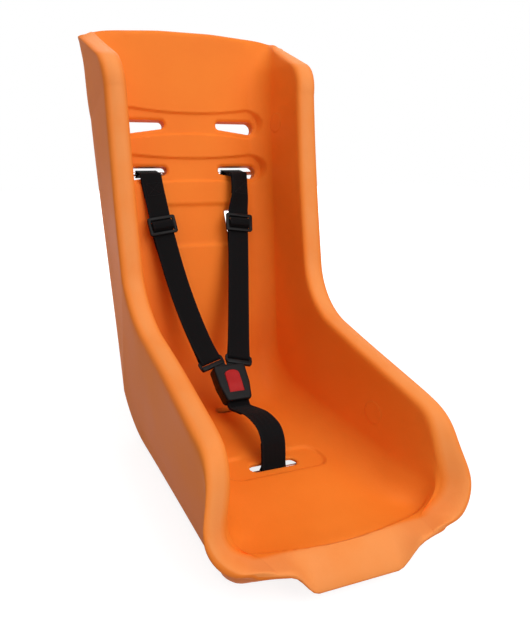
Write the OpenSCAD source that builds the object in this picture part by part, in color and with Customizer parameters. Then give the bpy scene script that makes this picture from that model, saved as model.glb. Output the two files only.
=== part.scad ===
// Moulded bucket seat for a small child in a cargo bike, with a three-point harness.
// The seat faces -Y and stands on z = 0. Lengths are millimetres, angles degrees.

/* [Seat shell] */
// Height of the back above the surface that the seat stands on
seat_h = 536; // [520:1:550]
// Depth from the tip of the lip to the rear of the back
seat_d = 470; // [455:1:480]
// Lean of the back from upright
lean = 13; // [11:0.5:14]
// Width across the top corners of the back
top_w = 300; // [290:1:306]
// Width across the rims of the wings
wing_w = 282; // [274:1:288]
// Width across the rims of the armrests
arm_w = 264; // [258:1:270]
// Width across the front of the armrests
front_w = 286; // [276:1:290]
// Width of the base
base_w = 224; // [216:1:232]
// Width of the rim band
rim_w = 27; // [23:1:30]
// Height of the sitting surface above the underside
pan_h = 47; // [42:1:54]
// Thickness of the back
back_t = 17; // [14:0.5:20]
// Thickness of the pan over the hollow underside
pan_t = 7; // [5:0.5:10]
// Rise of the top edge at its middle over its corners
top_arch = 9; // [5:1:14]

/* [Seat side profile] */
// Height of the lip at the front
lip_h = 41; // [37:1:44]
// Height of the armrests at their front corner
arm_front_h = 134; // [124:1:144]
// Height of the armrests where they meet the wings
arm_back_h = 190; // [182:1:198]
// Depth of the wings in front of the back at the armrests
waist_depth = 102; // [94:1:108]
// Depth of the wings in front of the back at the shoulders
shoulder_depth = 98; // [92:1:106]
// Height of the shoulder corner of the wings
shoulder_h = 478; // [468:1:486]
// Radius of the bend from pan to back
pan_bend_r = 75; // [65:1:85]
// Radius of the bend from underside to rear face
rear_bend_r = 65; // [55:1:75]
// Radius inside the corners between pan and armrests
pan_fillet_r = 36; // [28:1:40]
// Radius inside the corners between back and wings
back_fillet_r = 27; // [20:1:32]
// Half width of the tongue at the middle of the lip
tongue_half_w = 41; // [36:1:46]
// Drop of the tongue below the lip
tongue_drop = 26; // [18:1:28]

/* [Slots and recesses] */
// Length of the strap slots
slot_len = 59; // [56:1:62]
// Height of the strap slots at their outer end
slot_h = 18; // [17:0.5:20]
// Height of the strap slots at their inner end
slot_inner_h = 12; // [11:0.5:14]
// Distance from the middle to the centre of each shoulder slot
slot_x = 68; // [66:0.5:70]
// Height of the upper shoulder slots
upper_slot_z = 412; // [406:1:418]
// Height of the lower shoulder slots
lower_slot_z = 351; // [346:1:356]
// Depth of the pressed bands and recesses
band_depth = 3; // [2:0.25:4]
// Height of the middle band with the two upright slots
fixing_z = 280; // [276:1:284]
// Length of the upright fixing slots
fixing_len = 40; // [34:1:44]
// Width of the upright fixing slots
fixing_w = 14; // [10:0.5:16]
// Distance from the middle to the centre of each fixing slot
fixing_x = 51; // [49:0.5:53]
// Distance of the crotch slot in front of the foot of the back
crotch_from_back = 185; // [175:1:195]
// Width of the crotch slot from front to rear
crotch_slot_w = 14; // [13:0.5:16]
// Distance of the drain hole in front of the foot of the back
drain_from_back = 57; // [54:1:62]
// Length of the drain hole
drain_len = 26; // [20:1:34]
// Width of the drain hole
drain_w = 13; // [9:0.5:15]
// Width of the wall round the hollow underside
skirt_w = 36; // [32:1:40]

/* [Harness] */
// Width of the webbing
web_w = 30; // [26:0.5:31]
// Thickness of the webbing
web_t = 1.4; // [1.1:0.1:1.5]
// Clearance between loose parts
gap = 0.3; // [0.25:0.05:0.35]
// Diameter of the anchor rods
rod_d = 7; // [6:0.25:7.5]
// Length by which each anchor rod passes the ends of its slot
rod_over = 9; // [7:0.5:11]
// Distance down the strap from its slot to the slider
slider_drop = 68; // [60:1:80]
// Height of the slider frame along the strap
slider_h = 25; // [23:0.5:28]
// Thickness of the slider bars
slider_t = 3; // [2.6:0.1:3.4]

/* [Buckle] */
// Distance of the lower end of the buckle in front of the foot of the back
buckle_from_back = 94; // [90:1:98]
// Height of the lower end of the buckle
buckle_z = 74; // [72:1:78]
// Tilt of the buckle from level
buckle_tilt = 42; // [39:0.5:45]
// Length of the buckle
buckle_len = 50; // [48:0.5:53]
// Width of the buckle at its upper end
buckle_top_w = 45; // [44:0.5:48]
// Width of the buckle at its lower end
buckle_low_w = 34; // [33:0.5:36]
// Wall of the buckle covers
wall = 1.8; // [1.6:0.1:2]
// Height of the front cover over the parting line
front_t = 8; // [7.8:0.1:8.6]
// Depth of the rear cover under the parting line
rear_t = 10.4; // [10:0.1:11]
// Width of the release button
button_w = 20; // [18:0.5:21]
// Length of the release button
button_len = 30; // [27:0.5:31]
// Travel of the release button
travel = 2.4; // [2.2:0.1:2.6]
// Thickness of the tongue blades
blade_t = 2.4; // [2:0.1:2.6]
// Diameter of the pin that holds the crotch strap
pin_d = 4; // [3.6:0.1:4.4]

/* [Hidden] */
$fn = 48;

shell_colour = "orange";
web_colour = "black";
moulding_colour = "dimgray";
metal_colour = "silver";

// Places that follow from the driving dimensions
rear_y = seat_d / 2;
front_y = -seat_d / 2;
back_depth = back_t / cos(lean);
function back_y(z) = rear_y - back_depth - (seat_h - z) * tan(lean);
function rear_face_y(z) = back_y(z) + back_depth;
foot_y = back_y(pan_h);
crotch_y = foot_y - crotch_from_back;
drain_y = foot_y - drain_from_back;
top_round = 8;
corner_h = seat_h - top_arch - top_round;

function lerp(a, b, t) = a + (b - a) * t;
function unit(v) = v / norm(v);
function ease(t) = let (c = min(1, max(0, t))) c * c * (3 - 2 * c);
function turn2(v, a) = [v[0] * cos(a) - v[1] * sin(a), v[0] * sin(a) + v[1] * cos(a)];
function bezier(p, t) = (1 - t) ^ 3 * p[0] + 3 * t * (1 - t) ^ 2 * p[1]
    + 3 * t ^ 2 * (1 - t) * p[2] + t ^ 3 * p[3];

// Straight run from p to q in n steps, without q
function run(p, q, n) = [for (i = [0 : n - 1]) lerp(p, q, i / n)];

// Where the round corner at v leaves the straight towards a
function corner_end(a, v, b, r) =
    let (half = acos(unit(a - v) * unit(b - v)) / 2)
    v + unit(a - v) * r / tan(half);

// Arc round the corner at v in n steps, without its end
function corner_arc(a, v, b, r, n) =
    let (
        half = acos(unit(a - v) * unit(b - v)) / 2,
        centre = v + unit(unit(a - v) + unit(b - v)) * r / sin(half),
        start = corner_end(a, v, b, r) - centre,
        side = sign(cross(start, corner_end(b, v, a, r) - centre))
    )
    [for (i = [0 : n - 1]) centre + turn2(start, side * (180 - 2 * half) * i / n)];

// Side outline through the points v with radii r at the inner ones and n steps in each piece
function outline(v, r, n) = [
    for (k = [0 : len(r) - 1])
        each concat(
            run(k == 0 ? v[0] : corner_end(v[k + 1], v[k], v[k - 1], r[k - 1]),
                corner_end(v[k], v[k + 1], v[k + 2], r[k]), n[2 * k]),
            corner_arc(v[k], v[k + 1], v[k + 2], r[k], n[2 * k + 1])
        ),
    each run(corner_end(v[len(r) + 1], v[len(r)], v[len(r) - 1], r[len(r) - 1]), v[len(r) + 1],
        n[2 * len(r)])
];

// Value at u on a smooth track through [u, value] pairs
function slope(t, i) = i == 0 ? (t[1][1] - t[0][1]) / (t[1][0] - t[0][0])
    : i == len(t) - 1 ? (t[i][1] - t[i - 1][1]) / (t[i][0] - t[i - 1][0])
    : (t[i + 1][1] - t[i - 1][1]) / (t[i + 1][0] - t[i - 1][0]);
function track(t, u, i = 0) = i < len(t) - 2 && u > t[i + 1][0] ? track(t, u, i + 1)
    : let (
        w = t[i + 1][0] - t[i][0],
        x = (u - t[i][0]) / w,
        a = slope(t, i) * w,
        b = slope(t, i + 1) * w
    )
    (2 * x ^ 3 - 3 * x ^ 2 + 1) * t[i][1] + (x ^ 3 - 2 * x ^ 2 + x) * a
        + (3 * x ^ 2 - 2 * x ^ 3) * t[i + 1][1] + (x ^ 3 - x ^ 2) * b;

// Stations of the shell from the lip to the top, in steps for each stretch:
// lip corner, front of the armrest, its corner, armrest, waist, wing, shoulder, top corner
steps = [4, 3, 5, 6, 8, 7, 6, 4];
function stretch(i, k = 0) = i < steps[k] || k == len(steps) - 1 ? k + i / steps[k]
    : stretch(i - steps[k], k + 1);
station_count = 43;
lip_rise = 40;
lip_run = 17;
lip_back = 11.8;
lip_t = 8;
lip_half_w = front_w / 2 - lip_rise;

rim_run = concat(
    [for (i = [0 : steps[0] - 1]) let (a = 90 * i / steps[0])
        [front_y + lip_back + lip_run * (1 - cos(a)), lip_h + lip_rise * (1 - cos(a))]],
    outline(
        [
            [front_y + lip_back + lip_run, lip_h + lip_rise],
            [front_y + 52, arm_front_h],
            [back_y(arm_back_h) - waist_depth, arm_back_h],
            [back_y(shoulder_h) - shoulder_depth, shoulder_h],
            [back_y(corner_h) - 7, corner_h]
        ],
        [42, 85, 58],
        [steps[1], steps[2], steps[3], steps[4], steps[5], steps[6], steps[7]]
    ),
    [[back_y(corner_h) - 7, corner_h]]
);
// The rims of the wings curve in between waist and shoulder
wing_in = 9;
rim_line = [for (i = [0 : station_count]) let (u = min(7, max(4, stretch(i))))
    rim_run[i] + [wing_in * sin(60 * (u - 4)) ^ 2, 0]];

// Heights that the wing and shoulder stretches reach on the back
wing_top_z = shoulder_h - 62;
shoulder_top_z = shoulder_h + 10;

pan_start = 60;
// The pan rises gently towards the back
pan_slope = atan((pan_h - lip_h + 2) / (foot_y - front_y - pan_start));
function pan_z(y) = pan_h - (foot_y - y) * tan(pan_slope);

function pan_at(d) = [front_y + d, pan_z(front_y + d)];

seat_line = concat(
    [for (i = [0 : steps[0] - 1]) [
        front_y + track([[0, lip_back], [0.25, 34], [0.5, 46], [0.75, 54], [1, pan_start]], stretch(i)),
        lip_h - track([[0, 1], [0.25, 1.5], [0.5, 2.5], [1, 2]], stretch(i))
    ]],
    run(pan_at(pan_start), pan_at(78), steps[1]),
    run(pan_at(78), pan_at(120), steps[2]),
    outline([pan_at(120), [foot_y, pan_h], [back_y(wing_top_z), wing_top_z]], [pan_bend_r],
        [steps[3], steps[4], steps[5]]),
    run([back_y(wing_top_z), wing_top_z], [back_y(shoulder_top_z), shoulder_top_z], steps[6]),
    run([back_y(shoulder_top_z), shoulder_top_z], [back_y(corner_h), corner_h], steps[7]),
    [[back_y(corner_h), corner_h]]
);

under_line = concat(
    run([front_y + lip_back, lip_h - lip_t], [front_y + 33, 12], steps[0]),
    outline(
        [
            [front_y + 33, 12],
            [front_y + 54, 0],
            [rear_face_y(0), 0],
            [rear_face_y(wing_top_z), wing_top_z]
        ],
        [20, rear_bend_r],
        [steps[1], steps[2], steps[3], steps[4], steps[5]]
    ),
    run([rear_face_y(wing_top_z), wing_top_z], [rear_face_y(shoulder_top_z), shoulder_top_z],
        steps[6]),
    run([rear_face_y(shoulder_top_z), shoulder_top_z], [rear_face_y(corner_h), corner_h], steps[7]),
    [[rear_face_y(corner_h), corner_h]]
);

// Half widths along the shell: rim outside, base outside, rim band and seat inside
function rim_half(u) = u < 1 ? lip_half_w + lip_rise * sin(90 * u)
    : track([[1, front_w / 2], [2, arm_w / 2 + 2], [3.5, arm_w / 2 - 1], [4, arm_w / 2],
        [5, wing_w / 2 - 3], [6, wing_w / 2], [7, wing_w / 2 + 4], [8, top_w / 2]], u);
function base_half(u) = track([[0, lip_half_w - 4], [1, base_w / 2], [4, base_w / 2],
    [5, base_w / 2 + 10], [6, wing_w / 2 - 1], [7, wing_w / 2 + 3], [8, top_w / 2 - 2]], u);
function band(u) = track([[0, rim_w - 7], [0.25, rim_w + 3], [0.5, rim_w + 4], [1, rim_w], [4, rim_w],
    [7, rim_w], [8, rim_w - 3]], u);
function seat_half(u) = rim_half(u) - band(u)
    - track([[0, 1], [0.25, 2], [0.5, 4], [1, 8], [2, 6], [4, 3], [6, 2], [8, 1]], u);
function dip(u) = u > 2.6 ? 0
    : track([[0, 0.3], [0.25, 0.8], [0.5, 0.75], [0.75, 0.65], [1, 0.5], [1.5, 0.33], [2, 0.15], [2.6, 0]], u);
function fillet(u) = track([[0, pan_fillet_r], [4, pan_fillet_r], [5, back_fillet_r], [8, back_fillet_r]], u);

// One half of a section, from the middle of the underside over the rim to the middle of the seat
outer_corner = 12;
section_steps = [5, 3, 3, 2, 1];
function half_section(i) =
    let (
        u = stretch(i),
        rim = rim_line[i],
        seat = seat_line[i],
        under = under_line[i],
        deep = norm(rim - under),
        edge = lerp(rim, seat, dip(u)),
        rise = norm(edge - seat),
        wo = rim_half(u),
        wb = base_half(u),
        wi = wo - band(u),
        wp = seat_half(u),
        ro = min(outer_corner, 0.35 * deep),
        re = min(7, 0.3 * deep),
        rb = min(6, 0.45 * rise),
        ri = min(fillet(u), 0.85 * rise)
    )
    concat(
        [for (t = [0, 0.44, 0.56, 0.69, 0.86]) [(wb - ro) * t, each under]],
        [for (j = [0 : section_steps[1] - 1]) let (a = 90 * j / section_steps[1])
            [wb - ro + ro * sin(a), each lerp(under, rim, ro * (1 - cos(a)) / deep)]],
        [for (j = [0 : section_steps[2] - 1]) let (t = j / section_steps[2])
            [lerp(wb, wo, t), each lerp(under, rim, lerp(ro, deep - re, t) / deep)]],
        [for (j = [0 : section_steps[3] - 1]) let (a = 90 * j / section_steps[3])
            [wo - re * (1 - cos(a)), each lerp(under, rim, (deep - re + re * sin(a)) / deep)]],
        [[wo - re, each rim],
            [(wo - re + wi + rb) / 2, each lerp(rim, edge, 0.5) + unit(rim - under) * 1.2]],
        [for (j = [0 : section_steps[3] - 1]) let (a = 90 * j / section_steps[3])
            [wi + rb * (1 - sin(a)), each lerp(seat, edge, 1 - rb * (1 - cos(a)) / rise)]],
        [for (j = [0 : 1]) let (h = lerp(rise - rb, ri, j / 2))
            [lerp(wp, wi, h / rise), each lerp(seat, edge, h / rise)]],
        [for (j = [0 : 4]) let (a = 90 * j / 5, w = lerp(wp, wi, ri / rise))
            [wp - ri + (ri + w - wp) * cos(a), each lerp(seat, edge, ri * (1 - sin(a)) / rise)]],
        [for (t = [1, 0.81, 0.65, 0.51, 0]) [(wp - ri) * t, each seat]]
    );

// The lip bows forward, and its middle runs down into a tongue
function shape_lip(p) =
    let (
        low = p[2] < 60 ? 1 : 0,
        mid = 1 - ease((abs(p[0]) - tongue_half_w - 1) / 27),
        t = min(1, max(0, (front_y + 30 - p[1]) / 24)),
        near = low * t ^ 2 * (1.6 - 0.6 * t),
        bow = near * max(0, 1 - (p[0] / lip_half_w) ^ 8),
        lift = near * ease((abs(p[0]) - 62) / 40)
    )
    p - [0, 4.5 * bow + 1.5 * mid * near, tongue_drop * mid * near - 3.5 * lift];

// The top edge is arched
function shape_top(p, u) = p + [0, tan(lean), 1] * top_arch
    * ease((u - 6.4) / 1.6) * (1 - (p[0] / (top_w / 2)) ^ 2);

half_count = 28;
function half_loop(i) = [for (p = half_section(i)) shape_top(shape_lip(p), stretch(i))];
function whole_loop(h) = concat(h, [for (j = [half_count - 1 : -1 : 1]) [-h[j][0], h[j][1], h[j][2]]]);

// Half loop at the lip, drawn to the middle of its thickness to round the edge at angle a
lip_mid_z = lip_h - lip_t / 2;
function lip_loop(a) = [for (p = half_section(0))
    shape_lip([p[0] * (1 - 0.03 * (1 - cos(a))), p[1] - lip_t / 2 * sin(a), lerp(p[2], lip_mid_z, 1 - cos(a))])];

// Half loop at the top, drawn in by the radius of the edge at angle a
function top_loop(a) =
    let (h = half_loop(station_count))
    [for (j = [0 : half_count])
        let (mid = (h[j] + h[half_count - j]) / 2)
        lerp(h[j], mid, min(1, top_round * (1 - cos(a)) / max(0.1, norm(h[j] - mid))))
            + [0, tan(lean), 1] * top_round * sin(a) * (1 - 0.75 * ease((abs(h[j][0]) - 108) / 36))];

edge_angles = [30, 55, 78];
shell_loops = concat(
    [for (a = [78, 55, 30]) whole_loop(lip_loop(a))],
    [for (i = [0 : station_count]) whole_loop(half_loop(i))],
    [for (a = edge_angles) whole_loop(top_loop(a))]
);

// Closed skin over equal loops of points, with a ladder of faces across each end
module skin(loops, half) {
    n = 2 * half;
    last = len(loops) - 1;
    ladder = [for (j = [0 : half / 2 - 1]) each [
        [j, j + 1, half - j - 1, half - j],
        [(n - j) % n, half + j, half + j + 1, n - j - 1]
    ]];
    polyhedron(
        points = [for (l = loops) each l],
        faces = concat(
            [for (i = [0 : last - 1], j = [0 : n - 1]) each [
                [i * n + j, i * n + (j + 1) % n, (i + 1) * n + (j + 1) % n],
                [i * n + j, (i + 1) * n + (j + 1) % n, (i + 1) * n + j]
            ]],
            [for (f = ladder) each [[f[2], f[1], f[0]], [f[3], f[2], f[0]]]],
            [for (f = ladder) each [[f[0], f[1], f[2]] + [1, 1, 1] * last * n,
                [f[0], f[2], f[3]] + [1, 1, 1] * last * n]]
        )
    );
}

// Frame on the front of the back: x across, y up the slope, z out of the face
module on_back(z) {
    translate([0, back_y(z), z]) rotate([90 - lean, 0, 0]) children();
}

// Frame on the pan, raised by h
module on_pan(y, h) {
    translate([0, y, pan_z(y)]) rotate([pan_slope, 0, 0]) translate([0, 0, h]) children();
}
hollow_front = front_y + 76;
hollow_rear = foot_y - 42;

// Strap slot, taller at its outer end, with its top edge level
module slot_outline() {
    ro = slot_h / 2;
    ri = slot_inner_h / 2;
    xi = slot_x - slot_len / 2 + ri;
    xo = slot_x + slot_len / 2 - ro;
    translate([xo, 0]) circle(ro);
    translate([xi, ro - ri]) circle(ri);
    polygon([[xi, ro], [xi, ro - 2 * ri], [xo, -ro], [xo, ro]]);
}

// Pressed band, slimmer in the middle, with round ends about the slots
band_end_r = 20;
module band_outline(half_w, mid_h) {
    xe = half_w - band_end_r;
    for (s = [-1, 1]) translate([s * xe, 0]) circle(band_end_r);
    top = [for (i = [-6 : 6]) [xe * i / 6, lerp(mid_h, band_end_r, (i / 6) ^ 2)]];
    polygon(concat(top, [for (i = [6 : -1 : -6]) [top[i + 6][0], -top[i + 6][1]]]));
}

module rounded_box(w, d, h, r) {
    linear_extrude(h) union() {
        square([w - 2 * r, d], center = true);
        square([w, d - 2 * r], center = true);
        for (sx = [-1, 1], sy = [-1, 1]) translate([sx * (w / 2 - r), sy * (d / 2 - r)]) circle(r);
    }
}

// Upright slot that narrows towards its foot on the inner side
module fixing_outline() {
    r = fixing_w / 2 - 2;
    hull() {
        for (s = [-1, 1]) translate([s * (fixing_w / 2 - 3), fixing_len / 2 - 3]) circle(3, $fn = 32);
        translate([fixing_w / 2 - r, r - fixing_len / 2]) circle(r, $fn = 32);
    }
}

module shell_cuts() {
    cut = band_depth + 40;
    on_back(upper_slot_z) translate([0, 4, -band_depth]) linear_extrude(cut) band_outline(105, 14);
    on_back(lower_slot_z) translate([0, 4, -band_depth]) linear_extrude(cut) band_outline(107, 15.5);
    on_back(fixing_z) translate([0, 0, -band_depth]) rounded_box(136, 57, cut, 14);
    for (z = [upper_slot_z, lower_slot_z], m = [0, 1])
        mirror([m, 0, 0]) on_back(z) translate([0, 0, -back_t - 20]) linear_extrude(back_t + 50)
            slot_outline();
    for (m = [0, 1]) mirror([m, 0, 0]) on_back(fixing_z)
        translate([fixing_x, 0, -back_t - 20]) linear_extrude(back_t + 40) fixing_outline();
    // Crotch slot in its shallow recess, and the drain hole
    on_pan(crotch_y, -band_depth) rounded_box(124, 40, 40, 16);
    on_pan(crotch_y, -pan_h) rounded_box(slot_len, crotch_slot_w, pan_h + 20, crotch_slot_w / 2 - 0.01);
    on_pan(drain_y, -pan_h) rounded_box(drain_len, drain_w, pan_h + 20, drain_w / 2 - 0.01);
    // Hollow underside
    on_pan((hollow_front + hollow_rear) / 2, -pan_t - 60)
        rounded_box(base_w - 2 * skirt_w, hollow_rear - hollow_front, 60, 20);
}

module shell() {
    color(shell_colour) difference() {
        skin(shell_loops, half_count);
        shell_cuts();
    }
}

// Flat strap swept along places [centre, width direction], square to its path
function mean_dir(c, i) =
    let (
        n = len(c) - 1,
        p = i == 0 ? c[1][0] - c[0][0] : c[i][0] - c[i - 1][0],
        q = i == n ? p : c[i + 1][0] - c[i][0]
    )
    unit(p) + unit(i == 0 ? p : q);
module webbing(c, w = web_w, t = web_t) {
    n = len(c);
    polyhedron(
        points = [for (i = [0 : n - 1])
            let (d = mean_dir(c, i), side = c[i][1] * w / 2, up = cross(unit(d), c[i][1]) * t / norm(d))
            each [c[i][0] - side - up, c[i][0] + side - up, c[i][0] + side + up, c[i][0] - side + up]],
        faces = concat(
            [for (i = [0 : n - 2], j = [0 : 3]) each [
                [4 * i + j, 4 * i + 4 + (j + 1) % 4, 4 * i + (j + 1) % 4],
                [4 * i + j, 4 * i + 4 + j, 4 * i + 4 + (j + 1) % 4]
            ]],
            [[0, 1, 2], [0, 2, 3]],
            [[2, 1, 0] + [1, 1, 1] * (4 * n - 4), [3, 2, 0] + [1, 1, 1] * (4 * n - 4)]
        )
    );
}

// Layers of webbing lie this far apart, and this far from what they pass
layer = web_t + gap;
clear = web_t / 2 + gap;
half_layer = layer / 2;

// Places on the back and in the buckle
up_back = [0, sin(lean), cos(lean)];
out_back = [0, -cos(lean), sin(lean)];
buckle_up = [0, cos(buckle_tilt), sin(buckle_tilt)];
buckle_out = [0, -sin(buckle_tilt), cos(buckle_tilt)];
buckle_foot = [0, foot_y - buckle_from_back, buckle_z];
function buckle_point(x, up, out) = buckle_foot + [x, 0, 0] + buckle_up * up + buckle_out * out;

// Shoulder strap, hanging from the lower slot to the bar of the tongue
strap_x = slot_x - 3;
slot_floor = -slot_h / 2 + (slot_h - slot_inner_h)
    * (slot_len - slot_h / 2 - (strap_x - web_w / 2 - slot_x + slot_len / 2)) / (slot_len - slot_h / 2 - slot_inner_h / 2);
tongue_x = 21;
head_up = buckle_len + 12;
lower_slot = [strap_x, back_y(lower_slot_z), lower_slot_z];
strap_top = lower_slot + up_back * (slot_floor - 4) + out_back * (clear + half_layer);
strap_end = buckle_point(tongue_x, head_up, 0);
strap_path = [
    strap_top,
    strap_top - up_back * 84 + out_back * 11 - [9, 0, 0],
    strap_end + [24, 53, 69],
    strap_end
];
function strap_at(t) = bezier(strap_path, t);
function strap_dir(t) = unit(strap_at(t + 0.005) - strap_at(t - 0.005));
tongue_splay = atan(strap_dir(1)[0] / (strap_dir(1) * buckle_up));
function tongue_wide() = let (a = tongue_splay) [1, 0, 0] * cos(a) - buckle_up * sin(a);
function strap_wide(t) =
    let (d = strap_dir(t))
    unit(lerp(unit([1, 0, 0] - d * d[0]), tongue_wide(), ease((t - 0.7) / 0.3)));
function strap_out(t) = cross(strap_dir(t), strap_wide(t));
function strap_place(t, off) = [strap_at(t) + strap_out(t) * off, strap_wide(t)];
// Place up the strap and out from its path at t
function strap_turn(t, up, out) =
    [strap_at(t) - strap_dir(t) * up + strap_out(t) * out, strap_wide(t)];
function slot_turn(up, out) = [lower_slot + up_back * up + out_back * out, [1, 0, 0]];

strap_len = norm(strap_end - strap_top);
tail_t = 26 / strap_len;
slider_at = slider_drop / strap_len;
slider_bar = 4.2;
slider_mid = 4.4;
slider_window = (slider_h - 2 * slider_bar - slider_mid) / 2;
slider_off = half_layer + slider_t / 2 + clear + 0.1;
tongue_bar = 4.4;
tongue_slot = 4.6;
rod_r = (rod_d / 2 + clear) / cos(11);
rod_up = slot_floor + web_t + 2 * gap + rod_d / 2;
rod_out = -back_t - gap - rod_d / 2;
tail_end_t = slider_at + 28 / strap_len;

// Way round a bar of half size [m, h] at distance k, over its outer side from the top corner
function weave(up, out) = strap_turn(slider_at, up, slider_off + out);
function bar_corner(m, h, k, s) = [
    weave(s * m, h + k), weave(s * (m + 0.72 * k), h + 0.72 * k), weave(s * (m + k), h)
];
function turned(v) = [for (i = [len(v) - 1 : -1 : 0]) v[i]];
weave_m = slider_mid / 2;
weave_h = slider_t / 2;
weave_k = clear + 0.1;
weave_in = weave_m + slider_window;
weave_back = -weave_h - weave_k;

// One webbing: tail, loop round the rod, down the front, over the slider, round the tongue
// and back up to a loop round the middle bar of the slider
function shoulder_places() = concat(
    [for (i = [0 : 3]) strap_place(lerp(tail_t, 0.02, i / 3), -half_layer)],
    [
        slot_turn(slot_floor - 0.5, clear + 0.05),
        slot_turn(slot_floor + 0.65 * clear, 0.75 * clear),
        slot_turn(slot_floor + clear, -0.6),
        slot_turn(slot_floor + clear, -back_t)
    ],
    [for (i = [0 : 9]) let (a = 90 - 22 * i) slot_turn(rod_up - rod_r * sin(a), rod_out - rod_r * cos(a))],
    [
        slot_turn(slot_floor + clear + layer + 0.1, -1.5),
        slot_turn(slot_floor + 0.72 * (clear + layer) + 0.1, 0.74 * (clear + layer)),
        slot_turn(slot_floor - 0.5, clear + layer + 0.1)
    ],
    [for (i = [0 : 2]) strap_place(lerp(0.02, slider_at - 24 / strap_len, i / 2), half_layer)],
    [weave(weave_in + slider_bar + 1, weave_back), weave(weave_in, weave_back),
        weave(weave_in - 0.72 * weave_k, weave_back + 0.28 * weave_k)],
    turned(bar_corner(weave_m, weave_h, weave_k + layer, 1)),
    bar_corner(weave_m, weave_h, weave_k + layer, -1),
    [weave(0.72 * weave_k - weave_in, weave_back + 0.28 * weave_k), weave(-weave_in, weave_back),
        weave(-weave_in - slider_bar - 1, weave_back)],
    [for (i = [0 : 5]) strap_place(lerp(slider_at + 20 / strap_len, 0.93, i / 5), half_layer)],
    [for (i = [0 : 8]) let (a = 8 + 20.5 * i, r = (tongue_bar / 2 + clear + 0.2) / cos(10))
        strap_turn(1, -r * sin(a), r * cos(a))],
    [for (i = [0 : 4]) strap_place(lerp(0.93, tail_end_t + 6 / strap_len, i / 4), -half_layer)],
    [
        weave(-27, weave_back - 2 * layer - 0.7),
        weave(-8, weave_back - 2 * layer - 0.5),
        weave(-3, weave_back - 1.3 * layer),
        weave(0, weave_back),
        weave(weave_m, weave_back),
        weave(weave_m + 0.72 * weave_k, 0.28 * weave_k + weave_back),
        weave(weave_m + weave_k, -weave_h)
    ],
    turned(bar_corner(weave_m, weave_h, weave_k, 1)),
    bar_corner(weave_m, weave_h, weave_k, -1),
    [
        weave(-weave_m - weave_k, 0.3 - weave_h),
        weave(-weave_m - weave_k - 0.7, weave_back),
        weave(-weave_m - weave_k - 2.6, weave_back - layer),
        weave(-weave_in, weave_back - layer - 0.2),
        weave(-20, weave_back - layer - 0.2)
    ]
);

module shoulder_strap() {
    color(web_colour) webbing(shoulder_places());
}

module anchor_rod() {
    color(metal_colour)
        translate(lower_slot + [slot_x - strap_x, 0, 0] + up_back * rod_up + out_back * rod_out)
            rotate([0, 90, 0]) cylinder(d = rod_d, h = slot_len + 2 * rod_over, center = true);
}

// Closed outline through the points v with all corners rounded
function rounded(v, r, n = 5) = [
    for (k = [0 : len(v) - 1])
        let (a = v[(k + len(v) - 1) % len(v)], b = v[(k + 1) % len(v)])
        each concat(corner_arc(a, v[k], b, r, n), [corner_end(b, v[k], a, r)])
];
function box_points(w, h) = [[-w / 2, -h / 2], [w / 2, -h / 2], [w / 2, h / 2], [-w / 2, h / 2]];

// Frame with x and y along the unit vectors a and b
module in_frame(p, a, b) {
    c = cross(a, b);
    multmatrix([
        [a[0], b[0], c[0], p[0]],
        [a[1], b[1], c[1], p[1]],
        [a[2], b[2], c[2], p[2]],
        [0, 0, 0, 1]
    ]) children();
}

slider_w = web_w + 10;
module slider() {
    place = strap_at(slider_at) + strap_out(slider_at) * slider_off;
    color(moulding_colour)
        in_frame(place, strap_wide(slider_at), -strap_dir(slider_at))
            translate([0, 0, -slider_t / 2]) linear_extrude(slider_t) difference() {
                polygon(rounded(box_points(slider_w, slider_h), 3));
                for (s = [-1, 1]) translate([0, s * (slider_mid + slider_window) / 2])
                    polygon(rounded(box_points(web_w + 1.4, slider_window), 0.8, 2));
            }
}

// Frame in the buckle: x across, y up its length, z out of its front, raised by h
module in_buckle(h) {
    in_frame(buckle_point(0, 0, h), [1, 0, 0], buckle_up) children();
}

// Tongue: a head that carries the strap, and a blade that slides into the buckle
blade_in = 26;
blade_w = 16.6;
blade_hole = 8;
hole_up = buckle_len - 15;
module tongue() {
    color(metal_colour) in_buckle(-blade_t / 2) linear_extrude(blade_t) difference() {
        union() {
            polygon([
                [gap, buckle_len - blade_in], [gap + blade_w - 2, buckle_len - blade_in],
                [gap + blade_w, buckle_len - blade_in + 4], [gap + blade_w, buckle_len + 1],
                [tongue_x + 8, head_up - 10], [tongue_x, head_up - 8], [3, head_up - 3],
                [gap, buckle_len + 1]
            ]);
            translate([tongue_x, head_up]) rotate(-tongue_splay) translate([0, tongue_bar / 2 - 6])
                polygon(rounded(box_points(web_w + 7, 12), 3.5));
        }
        translate([gap + blade_w / 2, hole_up]) square([9, blade_hole], center = true);
        translate([tongue_x, head_up]) rotate(-tongue_splay)
            translate([0, -(tongue_bar + tongue_slot) / 2])
                square([web_w + 1.4, tongue_slot], center = true);
    }
}

// Outline of the buckle, drawn in by m
waist_in = 1;
function buckle_plan(m) = rounded([
    [-buckle_low_w / 2 + m, m], [buckle_low_w / 2 - m, m],
    [buckle_top_w / 2 - waist_in - m, buckle_len * 0.45],
    [buckle_top_w / 2 - m, buckle_len - m], [-buckle_top_w / 2 + m, buckle_len - m],
    [-buckle_top_w / 2 + waist_in + m, buckle_len * 0.45]
], max(1, 5 - m), 4);

// Outline of the button, with an arched upper end, grown by m
button_up = buckle_len * 0.53;
button_arch = 6;
function button_plan(m) = concat(
    [[-button_w / 2 - m, button_up - button_len / 2 - m], [button_w / 2 + m, button_up - button_len / 2 - m]],
    [for (a = [0 : 15 : 180])
        [(button_w / 2 + m) * cos(a), button_up + button_len / 2 - button_arch + (button_arch + m) * sin(a)]]
);

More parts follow.
